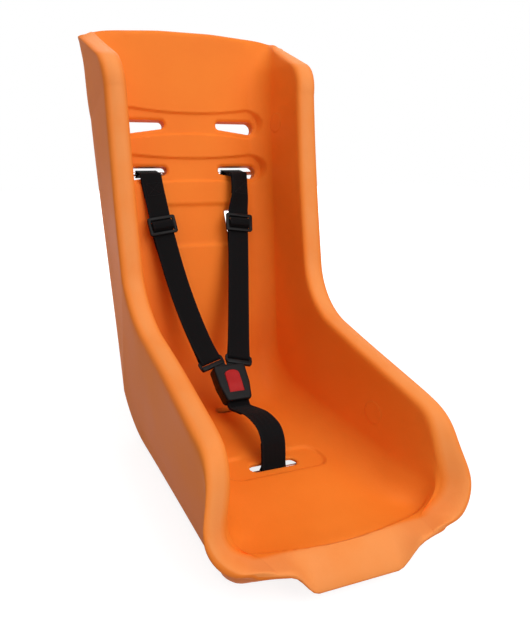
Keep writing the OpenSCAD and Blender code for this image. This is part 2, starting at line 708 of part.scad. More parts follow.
pin_up = 6.4;
pin_out = -2.4;
blade_room = blade_t / 2 + gap;
module buckle_front_cover() {
    color(moulding_colour) difference() {
        union() {
            in_buckle(gap / 2) linear_extrude(front_t - 1.3 - gap / 2) polygon(buckle_plan(0));
            in_buckle(front_t - wall) linear_extrude(wall - 0.7) polygon(buckle_plan(0.4));
            in_buckle(front_t - wall) linear_extrude(wall) polygon(buckle_plan(1.2));
        }
        in_buckle(-1) linear_extrude(front_t - wall + 1) polygon(buckle_plan(wall));
        in_buckle(-1) linear_extrude(front_t + 3) polygon(button_plan(gap));
        // Mouths for the tongues and the strap
        in_buckle(-1) linear_extrude(1 + blade_room) translate([0, buckle_len])
            square([2 * (gap + blade_w + gap), 8], center = true);
        in_buckle(-1) linear_extrude(1 + pin_out + pin_d / 2 + web_t + 2.2 * gap)
            square([web_w + 3 * gap, 8], center = true);
    }
}

module buckle_rear_cover() {
    color(moulding_colour) difference() {
        union() {
            in_buckle(1 - rear_t) linear_extrude(rear_t - 1 - gap / 2) polygon(buckle_plan(0));
            in_buckle(-rear_t) linear_extrude(wall) polygon(buckle_plan(0.9));
        }
        in_buckle(wall - rear_t) linear_extrude(rear_t) polygon(buckle_plan(wall));
        in_buckle(-blade_room) linear_extrude(4) translate([0, buckle_len])
            square([2 * (gap + blade_w + gap), 8], center = true);
        in_buckle(pin_out - pin_d / 2 - web_t - 2.2 * gap) linear_extrude(12)
            square([web_w + 3 * gap, 8], center = true);
        strap_pin_hole(gap / 2);
    }
    // Guide for the spring
    color(moulding_colour) in_buckle(wall - rear_t - 0.2) translate([0, spring_up])
        cylinder(d = spring_d - 2 * spring_wire - 2 * gap, h = 0.9);
}

module strap_pin_hole(m) {
    in_buckle(pin_out) translate([0, pin_up]) rotate([0, 90, 0])
        cylinder(d = pin_d + 2 * m, h = buckle_low_w + 4, center = true);
}
module strap_pin() {
    color(metal_colour) in_buckle(pin_out) translate([0, pin_up]) rotate([0, 90, 0])
        cylinder(d = pin_d, h = buckle_low_w - 0.6, center = true);
}

// Button and latch move together along the buckle's depth
// The cap stands proud and still fills its window when pressed
cap_top = front_t + travel / 2;
flange_t = 1.8;
flange_low = front_t - wall - gap - flange_t;
latch_top = -blade_t / 2 - 3 * gap;
latch_t = 1.6;
latch_low = latch_top - latch_t;
post_up = buckle_len - blade_in - 5;
module release_button() {
    color("crimson") {
        in_buckle(flange_low + 0.2) linear_extrude(cap_top - flange_low - 1.2) polygon(button_plan(0));
        in_buckle(cap_top - 1.1) linear_extrude(1.1) polygon(button_plan(-0.7));
        in_buckle(flange_low) linear_extrude(flange_t) polygon(button_plan(1.6));
        in_buckle(latch_top + gap) translate([-6, post_up - 2])
            cube([12, 4, flange_low - latch_top]);
    }
}

spring_d = 8;
spring_wire = 0.6;
spring_up = hole_up - 8;
module latch_plate() {
    color(metal_colour) {
        in_buckle(latch_low) translate([-14, post_up - 3])
            cube([28, hole_up + blade_hole / 2 + 2 - post_up + 3, latch_t]);
        for (s = [-1, 1]) in_buckle(latch_top - 0.2)
            translate([s * (gap + blade_w / 2), hole_up]) translate([-3.8, -blade_hole / 2 + 0.8, 0])
                cube([7.6, blade_hole - 1.6, travel - gap + 0.2]);
    }
}

// Coil spring between the rear cover and the latch plate
spring_low = wall - rear_t + 0.15;
spring_high = latch_low - 0.15;
spring_turns = 2.5;
module latch_spring() {
    n = 10;
    count = n * spring_turns;
    r = (spring_d - spring_wire) / 2;
    rise = spring_high - spring_low - spring_wire;
    color(metal_colour) in_buckle(0) translate([0, spring_up, 0]) polyhedron(
        points = [for (i = [0 : count], k = [0 : 3]) let (a = 360 / n * i, b = 90 * k + 45)
            [(r + spring_wire * 0.7 * cos(b)) * cos(a), (r + spring_wire * 0.7 * cos(b)) * sin(a),
                spring_low + spring_wire / 2 + rise * i / count + spring_wire * 0.7 * sin(b)]],
        faces = concat(
            [for (i = [0 : count - 1], j = [0 : 3]) each [
                [4 * i + j, 4 * i + (j + 1) % 4, 4 * i + 4 + (j + 1) % 4],
                [4 * i + j, 4 * i + 4 + (j + 1) % 4, 4 * i + 4 + j]
            ]],
            [[2, 1, 0], [3, 2, 0]],
            [[0, 1, 2] + [1, 1, 1] * 4 * count, [0, 2, 3] + [1, 1, 1] * 4 * count]
        )
    );
}

// Crotch strap, from its rod under the pan up through the slot to the pin in the buckle
crotch_rod_r = (rod_d / 2 + clear + 0.06) / cos(13);
crotch_rod_z = pan_z(crotch_y) - pan_t - gap - rod_d / 2 - 1;
crotch_top = pan_z(crotch_y);
pin_place = buckle_point(0, pin_up, pin_out);
strap_in = buckle_point(0, -6, pin_out + 0.8);
crotch_knots = [
    [crotch_y + 0.3, crotch_top + 1],
    [crotch_y + 5, crotch_top + 24],
    [crotch_y + 17, crotch_top + 36],
    [crotch_y + 41, crotch_top + 38],
    [crotch_y + 64, crotch_top + 33],
    [strap_in[1], strap_in[2]],
    [pin_place[1], pin_place[2]]
];
function crotch_at(u) = [
    0,
    track([for (i = [0 : 6]) [i, crotch_knots[i][0]]], u),
    track([for (i = [0 : 6]) [i, crotch_knots[i][1]]], u)
];
function crotch_dir(u) = unit(crotch_at(u + 0.02) - crotch_at(u - 0.02));
function crotch_out(u) = cross([1, 0, 0], crotch_dir(u));
function crotch_place(u, off) = [crotch_at(u) + crotch_out(u) * off, [1, 0, 0]];
function yz_turn(p, r, a) = [p + r * [0, cos(a), sin(a)], [1, 0, 0]];
rod_place = [0, crotch_y, crotch_rod_z];
pin_r = (pin_d / 2 + clear) / cos(13);

function crotch_places() = concat(
    // Tail above the slot, down and round the rod
    [for (i = [0 : 3]) crotch_place(lerp(0.95, 0.1, i / 3), -half_layer)],
    [[[0, crotch_y + half_layer, crotch_top - 4], [1, 0, 0]]],
    [for (i = [0 : 8]) yz_turn(rod_place, crotch_rod_r, 12 - 25.5 * i)],
    [[[0, crotch_y - half_layer, crotch_top - 4], [1, 0, 0]]],
    // Up the front and over to the buckle
    [for (i = [0 : 24]) crotch_place(lerp(0.1, 5, i / 24), half_layer)],
    [for (i = [0 : 8]) yz_turn(pin_place, pin_r, buckle_tilt + 90 + 16 - 26.5 * i)],
    [for (i = [0 : 5]) crotch_place(lerp(5, 3.7, i / 5), -half_layer)]
);
module crotch_strap() {
    color(web_colour) webbing(crotch_places());
}
module crotch_anchor_rod() {
    color(metal_colour) translate(rod_place) rotate([0, 90, 0])
        cylinder(d = rod_d, h = slot_len + 2 * rod_over, center = true);
}

module left_shoulder_strap() { mirror([1, 0, 0]) shoulder_strap(); }
module right_shoulder_strap() { shoulder_strap(); }
module left_anchor_rod() { mirror([1, 0, 0]) anchor_rod(); }
module right_anchor_rod() { anchor_rod(); }
module left_slider() { mirror([1, 0, 0]) slider(); }
module right_slider() { slider(); }
module left_tongue() { mirror([1, 0, 0]) tongue(); }
module right_tongue() { tongue(); }

shell();
left_shoulder_strap();
right_shoulder_strap();
left_anchor_rod();
right_anchor_rod();
left_slider();
right_slider();
left_tongue();
right_tongue();
buckle_front_cover();
buckle_rear_cover();
release_button();
latch_plate();
latch_spring();
strap_pin();
crotch_strap();
crotch_anchor_rod();
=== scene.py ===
import math
import bmesh
import bpy
import numpy as np
from mathutils import Matrix, Vector


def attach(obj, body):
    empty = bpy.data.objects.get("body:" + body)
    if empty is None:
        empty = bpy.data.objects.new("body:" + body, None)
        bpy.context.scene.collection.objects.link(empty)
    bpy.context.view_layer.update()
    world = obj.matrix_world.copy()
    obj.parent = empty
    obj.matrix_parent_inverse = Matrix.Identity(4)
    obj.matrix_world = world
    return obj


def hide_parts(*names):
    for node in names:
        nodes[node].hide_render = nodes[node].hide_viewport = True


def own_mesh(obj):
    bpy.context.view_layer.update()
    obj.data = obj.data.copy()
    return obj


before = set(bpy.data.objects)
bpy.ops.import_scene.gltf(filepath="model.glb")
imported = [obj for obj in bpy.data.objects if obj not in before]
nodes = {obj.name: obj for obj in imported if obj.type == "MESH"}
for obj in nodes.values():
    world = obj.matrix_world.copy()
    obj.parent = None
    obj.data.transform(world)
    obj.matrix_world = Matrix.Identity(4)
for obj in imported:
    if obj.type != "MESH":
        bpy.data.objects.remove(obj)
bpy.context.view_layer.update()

MM = 0.001

# ------------------------ sizes, as in the CAD source
seat_h, seat_d, lean = 536.0, 470.0, math.radians(13)
top_w, wing_w, arm_w, front_w, base_w, rim_w = 300.0, 282.0, 264.0, 286.0, 224.0, 27.0
pan_h, back_t, pan_t, top_arch, lip_h = 47.0, 17.0, 7.0, 9.0, 41.0
arm_front_h, arm_back_h, waist_depth, shoulder_depth, shoulder_h = 134.0, 190.0, 102.0, 98.0, 478.0
pan_bend_r, rear_bend_r, pan_fillet_r, back_fillet_r = 75.0, 65.0, 36.0, 27.0
tongue_half_w, tongue_drop = 41.0, 26.0
lip_rise, lip_run, lip_back, lip_t, pan_start, wing_in = 40.0, 17.0, 11.8, 8.0, 60.0, 9.0
slot_len, slot_h, slot_inner_h, slot_x = 59.0, 18.0, 12.0, 68.0
upper_slot_z, lower_slot_z, band_depth = 412.0, 351.0, 3.0
fixing_z, fixing_len, fixing_w, fixing_x = 280.0, 40.0, 14.0, 51.0
crotch_from_back, crotch_slot_w, skirt_w = 185.0, 14.0, 36.0
drain_from_back, drain_len, drain_w = 57.0, 26.0, 13.0
web_w, web_t, gap = 30.0, 1.4, 0.3
band_crown, lip_bow, tongue_bow, lip_lift = 1.2, 4.5, 1.5, 3.5
SIDES = ((1, "right"), (-1, "left"))

rear_y, front_y = seat_d / 2, -seat_d / 2
back_depth = back_t / math.cos(lean)
def back_y(z): return rear_y - back_depth - (seat_h - z) * math.tan(lean)
def rear_face_y(z): return back_y(z) + back_depth
foot_y = back_y(pan_h)
crotch_y, drain_y = foot_y - crotch_from_back, foot_y - drain_from_back
top_round = 8.0
corner_h = seat_h - top_arch - top_round
pan_slope = math.atan((pan_h - lip_h + 2) / (foot_y - front_y - pan_start))
def pan_z(y): return pan_h - (foot_y - y) * math.tan(pan_slope)
def pan_at(d): return (front_y + d, pan_z(front_y + d))
up_back = np.array([0, math.sin(lean), math.cos(lean)])
out_back = np.array([0, -math.cos(lean), math.sin(lean)])


def lerp(a, b, t): return a + (b - a) * t
def unit(v): v = np.asarray(v, float); return v / np.linalg.norm(v)
def ease(t): c = np.clip(t, 0, 1); return c * c * (3 - 2 * c)
def sin_d(a): return math.sin(math.radians(a))
def cos_d(a): return math.cos(math.radians(a))


def track(t, u):
    """Smooth track through [u, value] pairs, the same curve as in the CAD source."""
    i = 0
    while i < len(t) - 2 and u > t[i + 1][0]:
        i += 1
    def slope(k):
        a, b = max(k - 1, 0), min(k + 1, len(t) - 1)
        return (t[b][1] - t[a][1]) / (t[b][0] - t[a][0])
    w = t[i + 1][0] - t[i][0]
    x = (u - t[i][0]) / w
    a, b = slope(i) * w, slope(i + 1) * w
    return ((2 * x**3 - 3 * x**2 + 1) * t[i][1] + (x**3 - 2 * x**2 + x) * a
            + (3 * x**2 - 2 * x**3) * t[i + 1][1] + (x**3 - x**2) * b)


# ------------------------ shell
def half_angle(a, v, b):
    return math.acos(np.clip(np.dot(unit(a - v), unit(b - v)), -1, 1)) / 2


def corner_end(a, v, b, r):
    return v + unit(a - v) * r / math.tan(half_angle(a, v, b))


def corner_point(a, v, b, r, t):
    half = half_angle(a, v, b)
    centre = v + unit(unit(a - v) + unit(b - v)) * r / math.sin(half)
    s, e = corner_end(a, v, b, r) - centre, corner_end(b, v, a, r) - centre
    ang = (1 if s[0] * e[1] - s[1] * e[0] > 0 else -1) * (math.pi - 2 * half) * t
    return centre + np.array([s[0] * math.cos(ang) - s[1] * math.sin(ang),
                              s[0] * math.sin(ang) + s[1] * math.cos(ang)])


def outline_at(v, r, piece, t):
    """Point on an outline with round corners; piece 0 is its first straight."""
    v = [np.array(p, float) for p in v]
    k = piece // 2
    if piece % 2:
        return corner_point(v[k], v[k + 1], v[k + 2], r[k], t)
    a = v[0] if k == 0 else corner_end(v[k + 1], v[k], v[k - 1], r[k - 1])
    b = v[-1] if k == len(r) else corner_end(v[k], v[k + 1], v[k + 2], r[k])
    return lerp(a, b, t)


lip_half_w = front_w / 2 - lip_rise
wing_top_z, shoulder_top_z = shoulder_h - 62, shoulder_h + 10
RIM = ([(front_y + lip_back + lip_run, lip_h + lip_rise), (front_y + 52, arm_front_h),
        (back_y(arm_back_h) - waist_depth, arm_back_h), (back_y(shoulder_h) - shoulder_depth, shoulder_h),
        (back_y(corner_h) - 7, corner_h)], [42.0, 85.0, 58.0])
SEAT = ([pan_at(120), (foot_y, pan_h), (back_y(wing_top_z), wing_top_z)], [pan_bend_r])
UNDER = ([(front_y + 33, 12), (front_y + 54, 0), (rear_face_y(0), 0), (rear_face_y(wing_top_z), wing_top_z)],
         [20.0, rear_bend_r])


def rim_at(k, t):
    if k == 0:
        c = 1 - math.cos(t * math.pi / 2)
        return np.array([front_y + lip_back + lip_run * c, lip_h + lip_rise * c])
    u = min(7, max(4, k + t))
    return outline_at(*RIM, k - 1, t) + np.array([wing_in * sin_d(60 * (u - 4)) ** 2, 0])


def back_at(k, t, face):
    z = [wing_top_z, shoulder_top_z, corner_h]
    z = lerp(z[k - 6], z[k - 5], t)
    return np.array([face(z), z])


def seat_at(k, t):
    if k == 0:
        return np.array([front_y + track([[0, lip_back], [0.25, 34], [0.5, 46], [0.75, 54], [1, pan_start]], t),
                         lip_h - track([[0, 1], [0.25, 1.5], [0.5, 2.5], [1, 2]], t)])
    if k <= 2:
        d = [pan_start, 78, 120]
        return np.array(pan_at(lerp(d[k - 1], d[k], t)))
    return outline_at(*SEAT, k - 3, t) if k <= 5 else back_at(k, t, back_y)


def under_at(k, t):
    if k == 0:
        return lerp(np.array([front_y + lip_back, lip_h - lip_t]), np.array([front_y + 33.0, 12.0]), t)
    return outline_at(*UNDER, k - 1, t) if k <= 5 else back_at(k, t, rear_face_y)


def rim_half(u):
    if u < 1:
        return lip_half_w + lip_rise * math.sin(u * math.pi / 2)
    return track([[1, front_w / 2], [2, arm_w / 2 + 2], [3.5, arm_w / 2 - 1], [4, arm_w / 2],
                  [5, wing_w / 2 - 3], [6, wing_w / 2], [7, wing_w / 2 + 4], [8, top_w / 2]], u)
def base_half(u):
    return track([[0, lip_half_w - 4], [1, base_w / 2], [4, base_w / 2], [5, base_w / 2 + 10],
                  [6, wing_w / 2 - 1], [7, wing_w / 2 + 3], [8, top_w / 2 - 2]], u)
def band(u):
    return track([[0, rim_w - 7], [0.25, rim_w + 3], [0.5, rim_w + 4], [1, rim_w], [4, rim_w], [7, rim_w],
                  [8, rim_w - 3]], u)
def seat_half(u):
    return rim_half(u) - band(u) - track([[0, 1], [0.25, 2], [0.5, 4], [1, 8], [2, 6], [4, 3], [6, 2],
                                          [8, 1]], u)
def dip(u):
    return 0 if u > 2.6 else track([[0, 0.3], [0.25, 0.8], [0.5, 0.55], [0.75, 0.36], [1, 0.24], [1.5, 0.14],
                                    [2, 0.07], [2.6, 0]], u)
def fillet(u): return track([[0, pan_fillet_r], [4, pan_fillet_r], [5, back_fillet_r], [8, back_fillet_r]], u)


UNDER_N, CORNER_N, WALL_N, ROUND_N, BAND_N, INNER_N, FILLET_N = 18, 6, 13, 6, 8, 13, 30
FLOOR_F = np.r_[np.linspace(1, 0.36, 46)[:-1], np.linspace(0.36, 0, 10)]
OUTER = np.cumsum([0, UNDER_N, CORNER_N, WALL_N, ROUND_N, BAND_N // 2])
INNER = np.cumsum([0, len(FLOOR_F) - 1, FILLET_N, INNER_N, ROUND_N, BAND_N // 2])


def half_section(k, t):
    """Half a section, from the middle of the underside over the rim to the middle of the seat."""
    u = k + t
    rim, seat, under = rim_at(k, t), seat_at(k, t), under_at(k, t)
    edge = lerp(rim, seat, dip(u))
    deep, rise = np.linalg.norm(rim - under), np.linalg.norm(edge - seat)
    wo, wb = rim_half(u), base_half(u)
    wi, wp = wo - band(u), seat_half(u)
    ro, re, rb = min(12, 0.35 * deep), min(7, 0.3 * deep), min(6, 0.45 * rise)
    ri = min(fillet(u), 0.85 * rise)
    P, tag = [], []
    def add(x, yz, what): P.append([x, yz[0], yz[1]]); tag.append(what)
    U, S = lambda h: lerp(under, rim, h / deep), lambda h: lerp(seat, edge, h / rise)
    up = unit(rim - under)
    for j in range(UNDER_N): add((wb - ro) * j / UNDER_N, under, 0)
    for j in range(CORNER_N):
        a = math.pi / 2 * j / CORNER_N
        add(wb - ro + ro * math.sin(a), U(ro * (1 - math.cos(a))), 0)
    for j in range(WALL_N):
        s = j / WALL_N
        add(lerp(wb, wo, s), U(lerp(ro, deep - re, s)), 1)
    for j in range(ROUND_N):
        a = math.pi / 2 * j / ROUND_N
        add(wo - re * (1 - math.cos(a)), U(deep - re + re * math.sin(a)), 2)
    for j in range(BAND_N):
        s = j / BAND_N
        add(lerp(wo - re, wi + rb, s), lerp(rim, edge, s) + up * band_crown * math.sin(math.pi * s), 2)
    for j in range(ROUND_N):
        a = math.pi / 2 * j / ROUND_N
        add(wi + rb * (1 - math.sin(a)), S(rise - rb * (1 - math.cos(a))), 2)
    for j in range(INNER_N):
        h = lerp(rise - rb, ri, j / INNER_N)
        add(lerp(wp, wi, h / rise), S(h), 3)
    w = lerp(wp, wi, ri / rise)
    for j in range(FILLET_N):
        a = math.pi / 2 * j / FILLET_N
        add(wp - ri + (ri + w - wp) * math.cos(a), S(ri * (1 - math.sin(a))), 4)
    for f in FLOOR_F: add((wp - ri) * f, seat, 4)
    return np.array(P), np.array(tag)


def shape_lip(P):
    """The lip bows forward, and its middle runs down into a tongue."""
    P = P.copy()
    x, y, z = P.T
    mid = 1 - ease((np.abs(x) - tongue_half_w - 1) / 27)
    t = np.clip((front_y + 30 - y) / 24, 0, 1)
    near = (z < 60) * t**2 * (1.6 - 0.6 * t)
    bow = near * np.maximum(0, 1 - (x / lip_half_w) ** 8)
    lift = near * ease((np.abs(x) - 62) / 40)
    P[:, 1] -= lip_bow * bow + tongue_bow * mid * near
    P[:, 2] -= tongue_drop * mid * near - lip_lift * lift
    return P


def shape_top(P, u):
    """Raise the top edge into its arch."""
    P = P.copy()
    rise = top_arch * ease((u - 6.4) / 1.6) * (1 - (P[:, 0] / (top_w / 2)) ** 2)
    P[:, 1] += math.tan(lean) * rise
    P[:, 2] += rise
    return P


def lip_loop(a):
    """A loop of the round nose of the lip, at angle a."""
    P = half_section(0, 0)[0]
    P[:, 0] *= 1 - 0.03 * (1 - math.cos(a))
    P[:, 1] -= lip_t / 2 * math.sin(a) * (1 - ease((np.abs(P[:, 0]) - 60) / 38))
    P[:, 2] = lerp(P[:, 2], lip_h - lip_t / 2, 1 - math.cos(a))
    return shape_lip(P)


def top_loop(h, a):
    """A loop of the round top edge, at angle a."""
    n = len(h) - 1
    j = np.arange(n + 1.0)
    other = np.where(j <= OUTER[-1], n - np.interp(j, OUTER, INNER), np.interp(n - j, INNER, OUTER))
    mid = (h + np.stack([np.interp(other, j, h[:, c]) for c in range(3)], 1)) / 2
    f = np.minimum(1, top_round * (1 - math.cos(a)) / np.maximum(0.1, np.linalg.norm(h - mid, axis=1)))
    push = top_round * math.sin(a) * (1 - 0.75 * ease((np.abs(h[:, 0]) - 108) / 36))
    return h + (mid - h) * f[:, None] + np.outer(push, (0, math.tan(lean), 1))


def spaced(k, line, axis, breaks, steps):
    """Fractions of stretch k at which line reaches places on an axis, at given spacings."""
    a, b = line(k, 0)[axis], line(k, 1)[axis]
    out = []
    for (p, q), s in zip(zip(breaks[:-1], breaks[1:]), steps):
        n = max(1, round(abs(q - p) / s))
        out += [p + (q - p) * i / n for i in range(n)]
    return [(k, (v - a) / (b - a)) for v in out]


def split(k, breaks, counts):
    """Fractions of stretch k between breaks, in the given numbers of steps."""
    return [(k, t) for a, b, n in zip(breaks, breaks[1:], counts) for t in np.linspace(a, b, n + 1)[:-1]]


y0, y1 = seat_at(3, 0)[0], seat_at(3, 1)[0]
z0 = seat_at(5, 0)[1]
STATIONS = (split(0, [0, 0.12, 0.3, 1], [4, 13, 12]) + [(1, i / 9) for i in range(9)]
    + [(2, i / 11) for i in range(11)]
    + spaced(3, seat_at, 0, [y0, crotch_y - 24, crotch_y + 24, y1 - 8, y1], [8, 1.6, 6, 2])
    + split(4, [0, 0.16, 1], [8, 18])
    + spaced(5, seat_at, 1, [z0, 246, 312, 328, 376, 390, wing_top_z], [5.5, 2.2, 4, 1.4, 3, 1.4])
    + spaced(6, seat_at, 1, [wing_top_z, 438, shoulder_top_z], [1.4, 5])
    + [(7, i / 7) for i in range(8)])


def sd_poly(x, y, pts):
    """Signed distance to a simple polygon, negative inside."""
    pts = np.asarray(pts, float)
    d = np.full(x.shape, 1e9)
    inside = np.zeros(x.shape, bool)
    for a, b in zip(pts, np.roll(pts, -1, 0)):
        e = b - a
        t = np.clip(((x - a[0]) * e[0] + (y - a[1]) * e[1]) / (e @ e + 1e-12), 0, 1)
        d = np.minimum(d, np.hypot(x - a[0] - e[0] * t, y - a[1] - e[1] * t))
        cross = ((a[1] > y) != (b[1] > y)) & (x < (b[0] - a[0]) * (y - a[1]) / (b[1] - a[1] + 1e-12) + a[0])
        inside ^= cross
    return np.where(inside, -d, d)


def arc(cx, cy, r, a0, a1, n):
    return [(cx + r * cos_d(lerp(a0, a1, i / n)), cy + r * sin_d(lerp(a0, a1, i / n))) for i in range(n + 1)]


def slot_points():
    ro, ri = slot_h / 2, slot_inner_h / 2
    xi, xo = slot_x - slot_len / 2 + ri, slot_x + slot_len / 2 - ro
    tilt = math.degrees(math.atan2(2 * (ro - ri), xo - xi))
    return arc(xo, 0, ro, -90 - tilt, 90, 28) + arc(xi, ro - ri, ri, 90, 270 - tilt, 28)


def band_points(half_w, mid_h):
    r = 20
    xe = half_w - r
    top = [(xe * i / 12, lerp(mid_h, r, (i / 12) ** 2)) for i in range(-12, 13)]
    return (top[:0:-1] + arc(-xe, 0, r, 90, 270, 14) + [(x, -h) for x, h in top][1:-1]
            + arc(xe, 0, r, -90, 90, 14)[:-1])


def box_points(w, h, r, n=8):
    x, y = w / 2 - r, h / 2 - r
    return [p for i, (sx, sy) in enumerate(((1, 1), (-1, 1), (-1, -1), (1, -1)))
            for p in arc(sx * x, sy * y, r, 90 * i, 90 * i + 90, n)]


def fixing_points(n=8):
    r = fixing_w / 2 - 2
    x, y = fixing_w / 2 - 3, fixing_len / 2 - 3
    xr, yr = fixing_w / 2 - r, r - fixing_len / 2
    return ([(fixing_x + p, q) for p, q in arc(x, y, 3, 0, 90, n) + arc(-x, y, 3, 90, 185, n)
             + arc(xr, yr, r, 190, 270, n) + arc(xr, yr, r, 270, 360, n)])


SLOT, FIXING = slot_points(), fixing_points()
CROTCH_SLOT, DRAIN = [box_points(length, w, w / 2 - 0.01) for length, w in
                      ((slot_len, crotch_slot_w), (drain_len, drain_w))]
dish_y, dish_depth = crotch_y + 9, 2.6


def bands(P, tag):
    """Press the bands and flare the slots into the inner face of the shell."""
    on = tag == 4
    x = np.abs(P[:, 0])
    def on_back(z, reach):
        q = P - np.array([0, back_y(z), z])
        up, out = q @ up_back, q @ out_back
        return up, out, on & (np.abs(up) < reach) & (out < 30) & (out > -8)
    def press(d): return ease((1.6 - d) / 3.6)
    def flare(d, r): return r * (1 - np.sqrt(1 - np.minimum(np.clip((r - d) / r, 0, 1), 0.94) ** 2))
    for z, pts, lift in ((upper_slot_z, band_points(105, 14), 4), (lower_slot_z, band_points(107, 15.5), 4),
                         (fixing_z, box_points(136, 57, 14), 0)):
        up, out, near = on_back(z, 60)
        w = press(sd_poly(x[near], up[near] - lift, pts)) * (out[near] > -band_depth)
        P[near] -= np.outer((out[near] + band_depth) * w, out_back)
    for z, pts, r in ((upper_slot_z, SLOT, 4.0), (lower_slot_z, SLOT, 4.0), (fixing_z, FIXING, 2.6)):
        up, _, near = on_back(z, 40)
        P[near] -= np.outer(flare(sd_poly(x[near], up[near], pts), r), out_back)
    # A shallow dish behind the crotch slot
    q = P - np.array([0, dish_y, pan_z(dish_y)])
    near = on & (np.abs(q[:, 2]) < 14) & (np.abs(q[:, 1]) < 50)
    P[near, 2] -= dish_depth * ease((2 - sd_poly(x[near], q[near, 1], box_points(76, 34, 15))) / 9)
    for y, depth, pts, r in ((crotch_y, band_depth, box_points(124, 40, 16), 0),
                             (crotch_y, 0, CROTCH_SLOT, 2.4), (drain_y, 0, DRAIN, 2.6)):
        q = P - np.array([0, y, pan_z(y)])
        along = q[:, 1] * math.cos(pan_slope) + q[:, 2] * math.sin(pan_slope)
        h = q[:, 2] - q[:, 1] * math.tan(pan_slope)
        near = on & (np.abs(along) < 50) & (h < 14)
        d = sd_poly(x[near], along[near], pts)
        P[near, 2] -= np.maximum(0, h[near] + depth) * press(d) if depth else flare(d, r)
    return P


def link(name, data):
    ob = bpy.data.objects.new(name, data)
    bpy.context.scene.collection.objects.link(ob)
    return ob


def even_normals(me):
    bm = bmesh.new(); bm.from_mesh(me)
    bmesh.ops.recalc_face_normals(bm, faces=bm.faces)
    bm.to_mesh(me); bm.free()


def soften(me, angle):
    me.shade_smooth()
    me.set_sharp_from_angle(angle=math.radians(angle))


def mesh_object(name, verts, faces, smooth=True):
    me = bpy.data.meshes.new(name)
    me.from_pydata([tuple(v) for v in verts], [], [tuple(f) for f in faces])
    me.validate()
    even_normals(me)
    if smooth:
        me.shade_smooth()
    return link(name, me)


def ring_faces(rows, n):
    """Quads between rows of n points."""
    return [(i * n + j, i * n + (j + 1) % n, (i + 1) * n + (j + 1) % n, (i + 1) * n + j)
            for i in range(rows - 1) for j in range(n)]


def end_faces(total, n): return [tuple(range(n))[::-1], tuple(range(total - n, total))]


def prism(name, pts, place, h0, h1):
    """Prism over 2D points, between heights h0 and h1 of a frame (origin, x, y, z)."""
    o, ex, ey, ez = [np.asarray(v, float) for v in place]
    n = len(pts)
    V = [(o + ex * p + ey * q + ez * h) * MM for h in (h0, h1) for p, q in pts]
    F = [tuple(range(n - 1, -1, -1)), tuple(range(n, 2 * n))]
    F += [(i, (i + 1) % n, n + (i + 1) % n, n + i) for i in range(n)]
    return mesh_object(name, V, F, smooth=False)


def cut(pts, place, h0, h1): return prism("cut", pts, place, h0, h1)


def apply(ob, mod):
    bpy.context.view_layer.objects.active = ob
    bpy.ops.object.modifier_apply(modifier=mod.name)


def boolean(ob, cutters, op="DIFFERENCE"):
    for c in cutters:
        mod = ob.modifiers.new("cut", "BOOLEAN")
        mod.operation, mod.object, mod.solver = op, c, "EXACT"
        apply(ob, mod)
        bpy.data.objects.remove(c)
    return ob


def smooth_front(G, u, inner):
    """Even out the front corners, where the sections turn: first all round, then inside the rim band."""
    for passes, start, span, depth, on in ((14, 0.12, 0.45, 95, 1.0), (45, 0.02, 0.2, 110, inner)):
        for _ in range(passes):
            w = 0.5 * ease((u[:, None] - start) / span) * ease((front_y + depth - G[:, :, 1]) / 40) * on
            m = G.copy()
            m[1:-1] = (G[2:] + G[:-2] + np.roll(G, 1, 1)[1:-1] + np.roll(G, -1, 1)[1:-1]) / 4
            G = G + (m - G) * w[:, :, None]
    return G


def smooth_where(G, passes, weight):
    """Move points toward the mean of their neighbours, by a weight worked out from |x|."""
    for _ in range(passes):
        m = (np.roll(G, 1, 1) + np.roll(G, -1, 1)) / 2
        m[1:-1] = (m[1:-1] * 2 + G[2:] + G[:-2]) / 4
        G = G + (m - G) * (0.5 * weight(np.abs(G[:, :, 0])))[:, :, None]
    return G


step_h, step_in, step_bow = 3.2, 27, 8


def step_pan(G, inner):
    """Drop the pan behind the front of the rim band, so that the band has a clear inner edge there."""
    x, y, z = np.moveaxis(G, 2, 0)
    edge = front_y + step_in + step_bow * (x / 80) ** 2
    G = G.copy()
    G[:, :, 2] -= (step_h * ease((y - edge + 1.2) / 3.4) * ease((front_y + 130 - y) / 60)
                   * ease((60 - z) / 16) * ease(inner / 0.5))
    return G


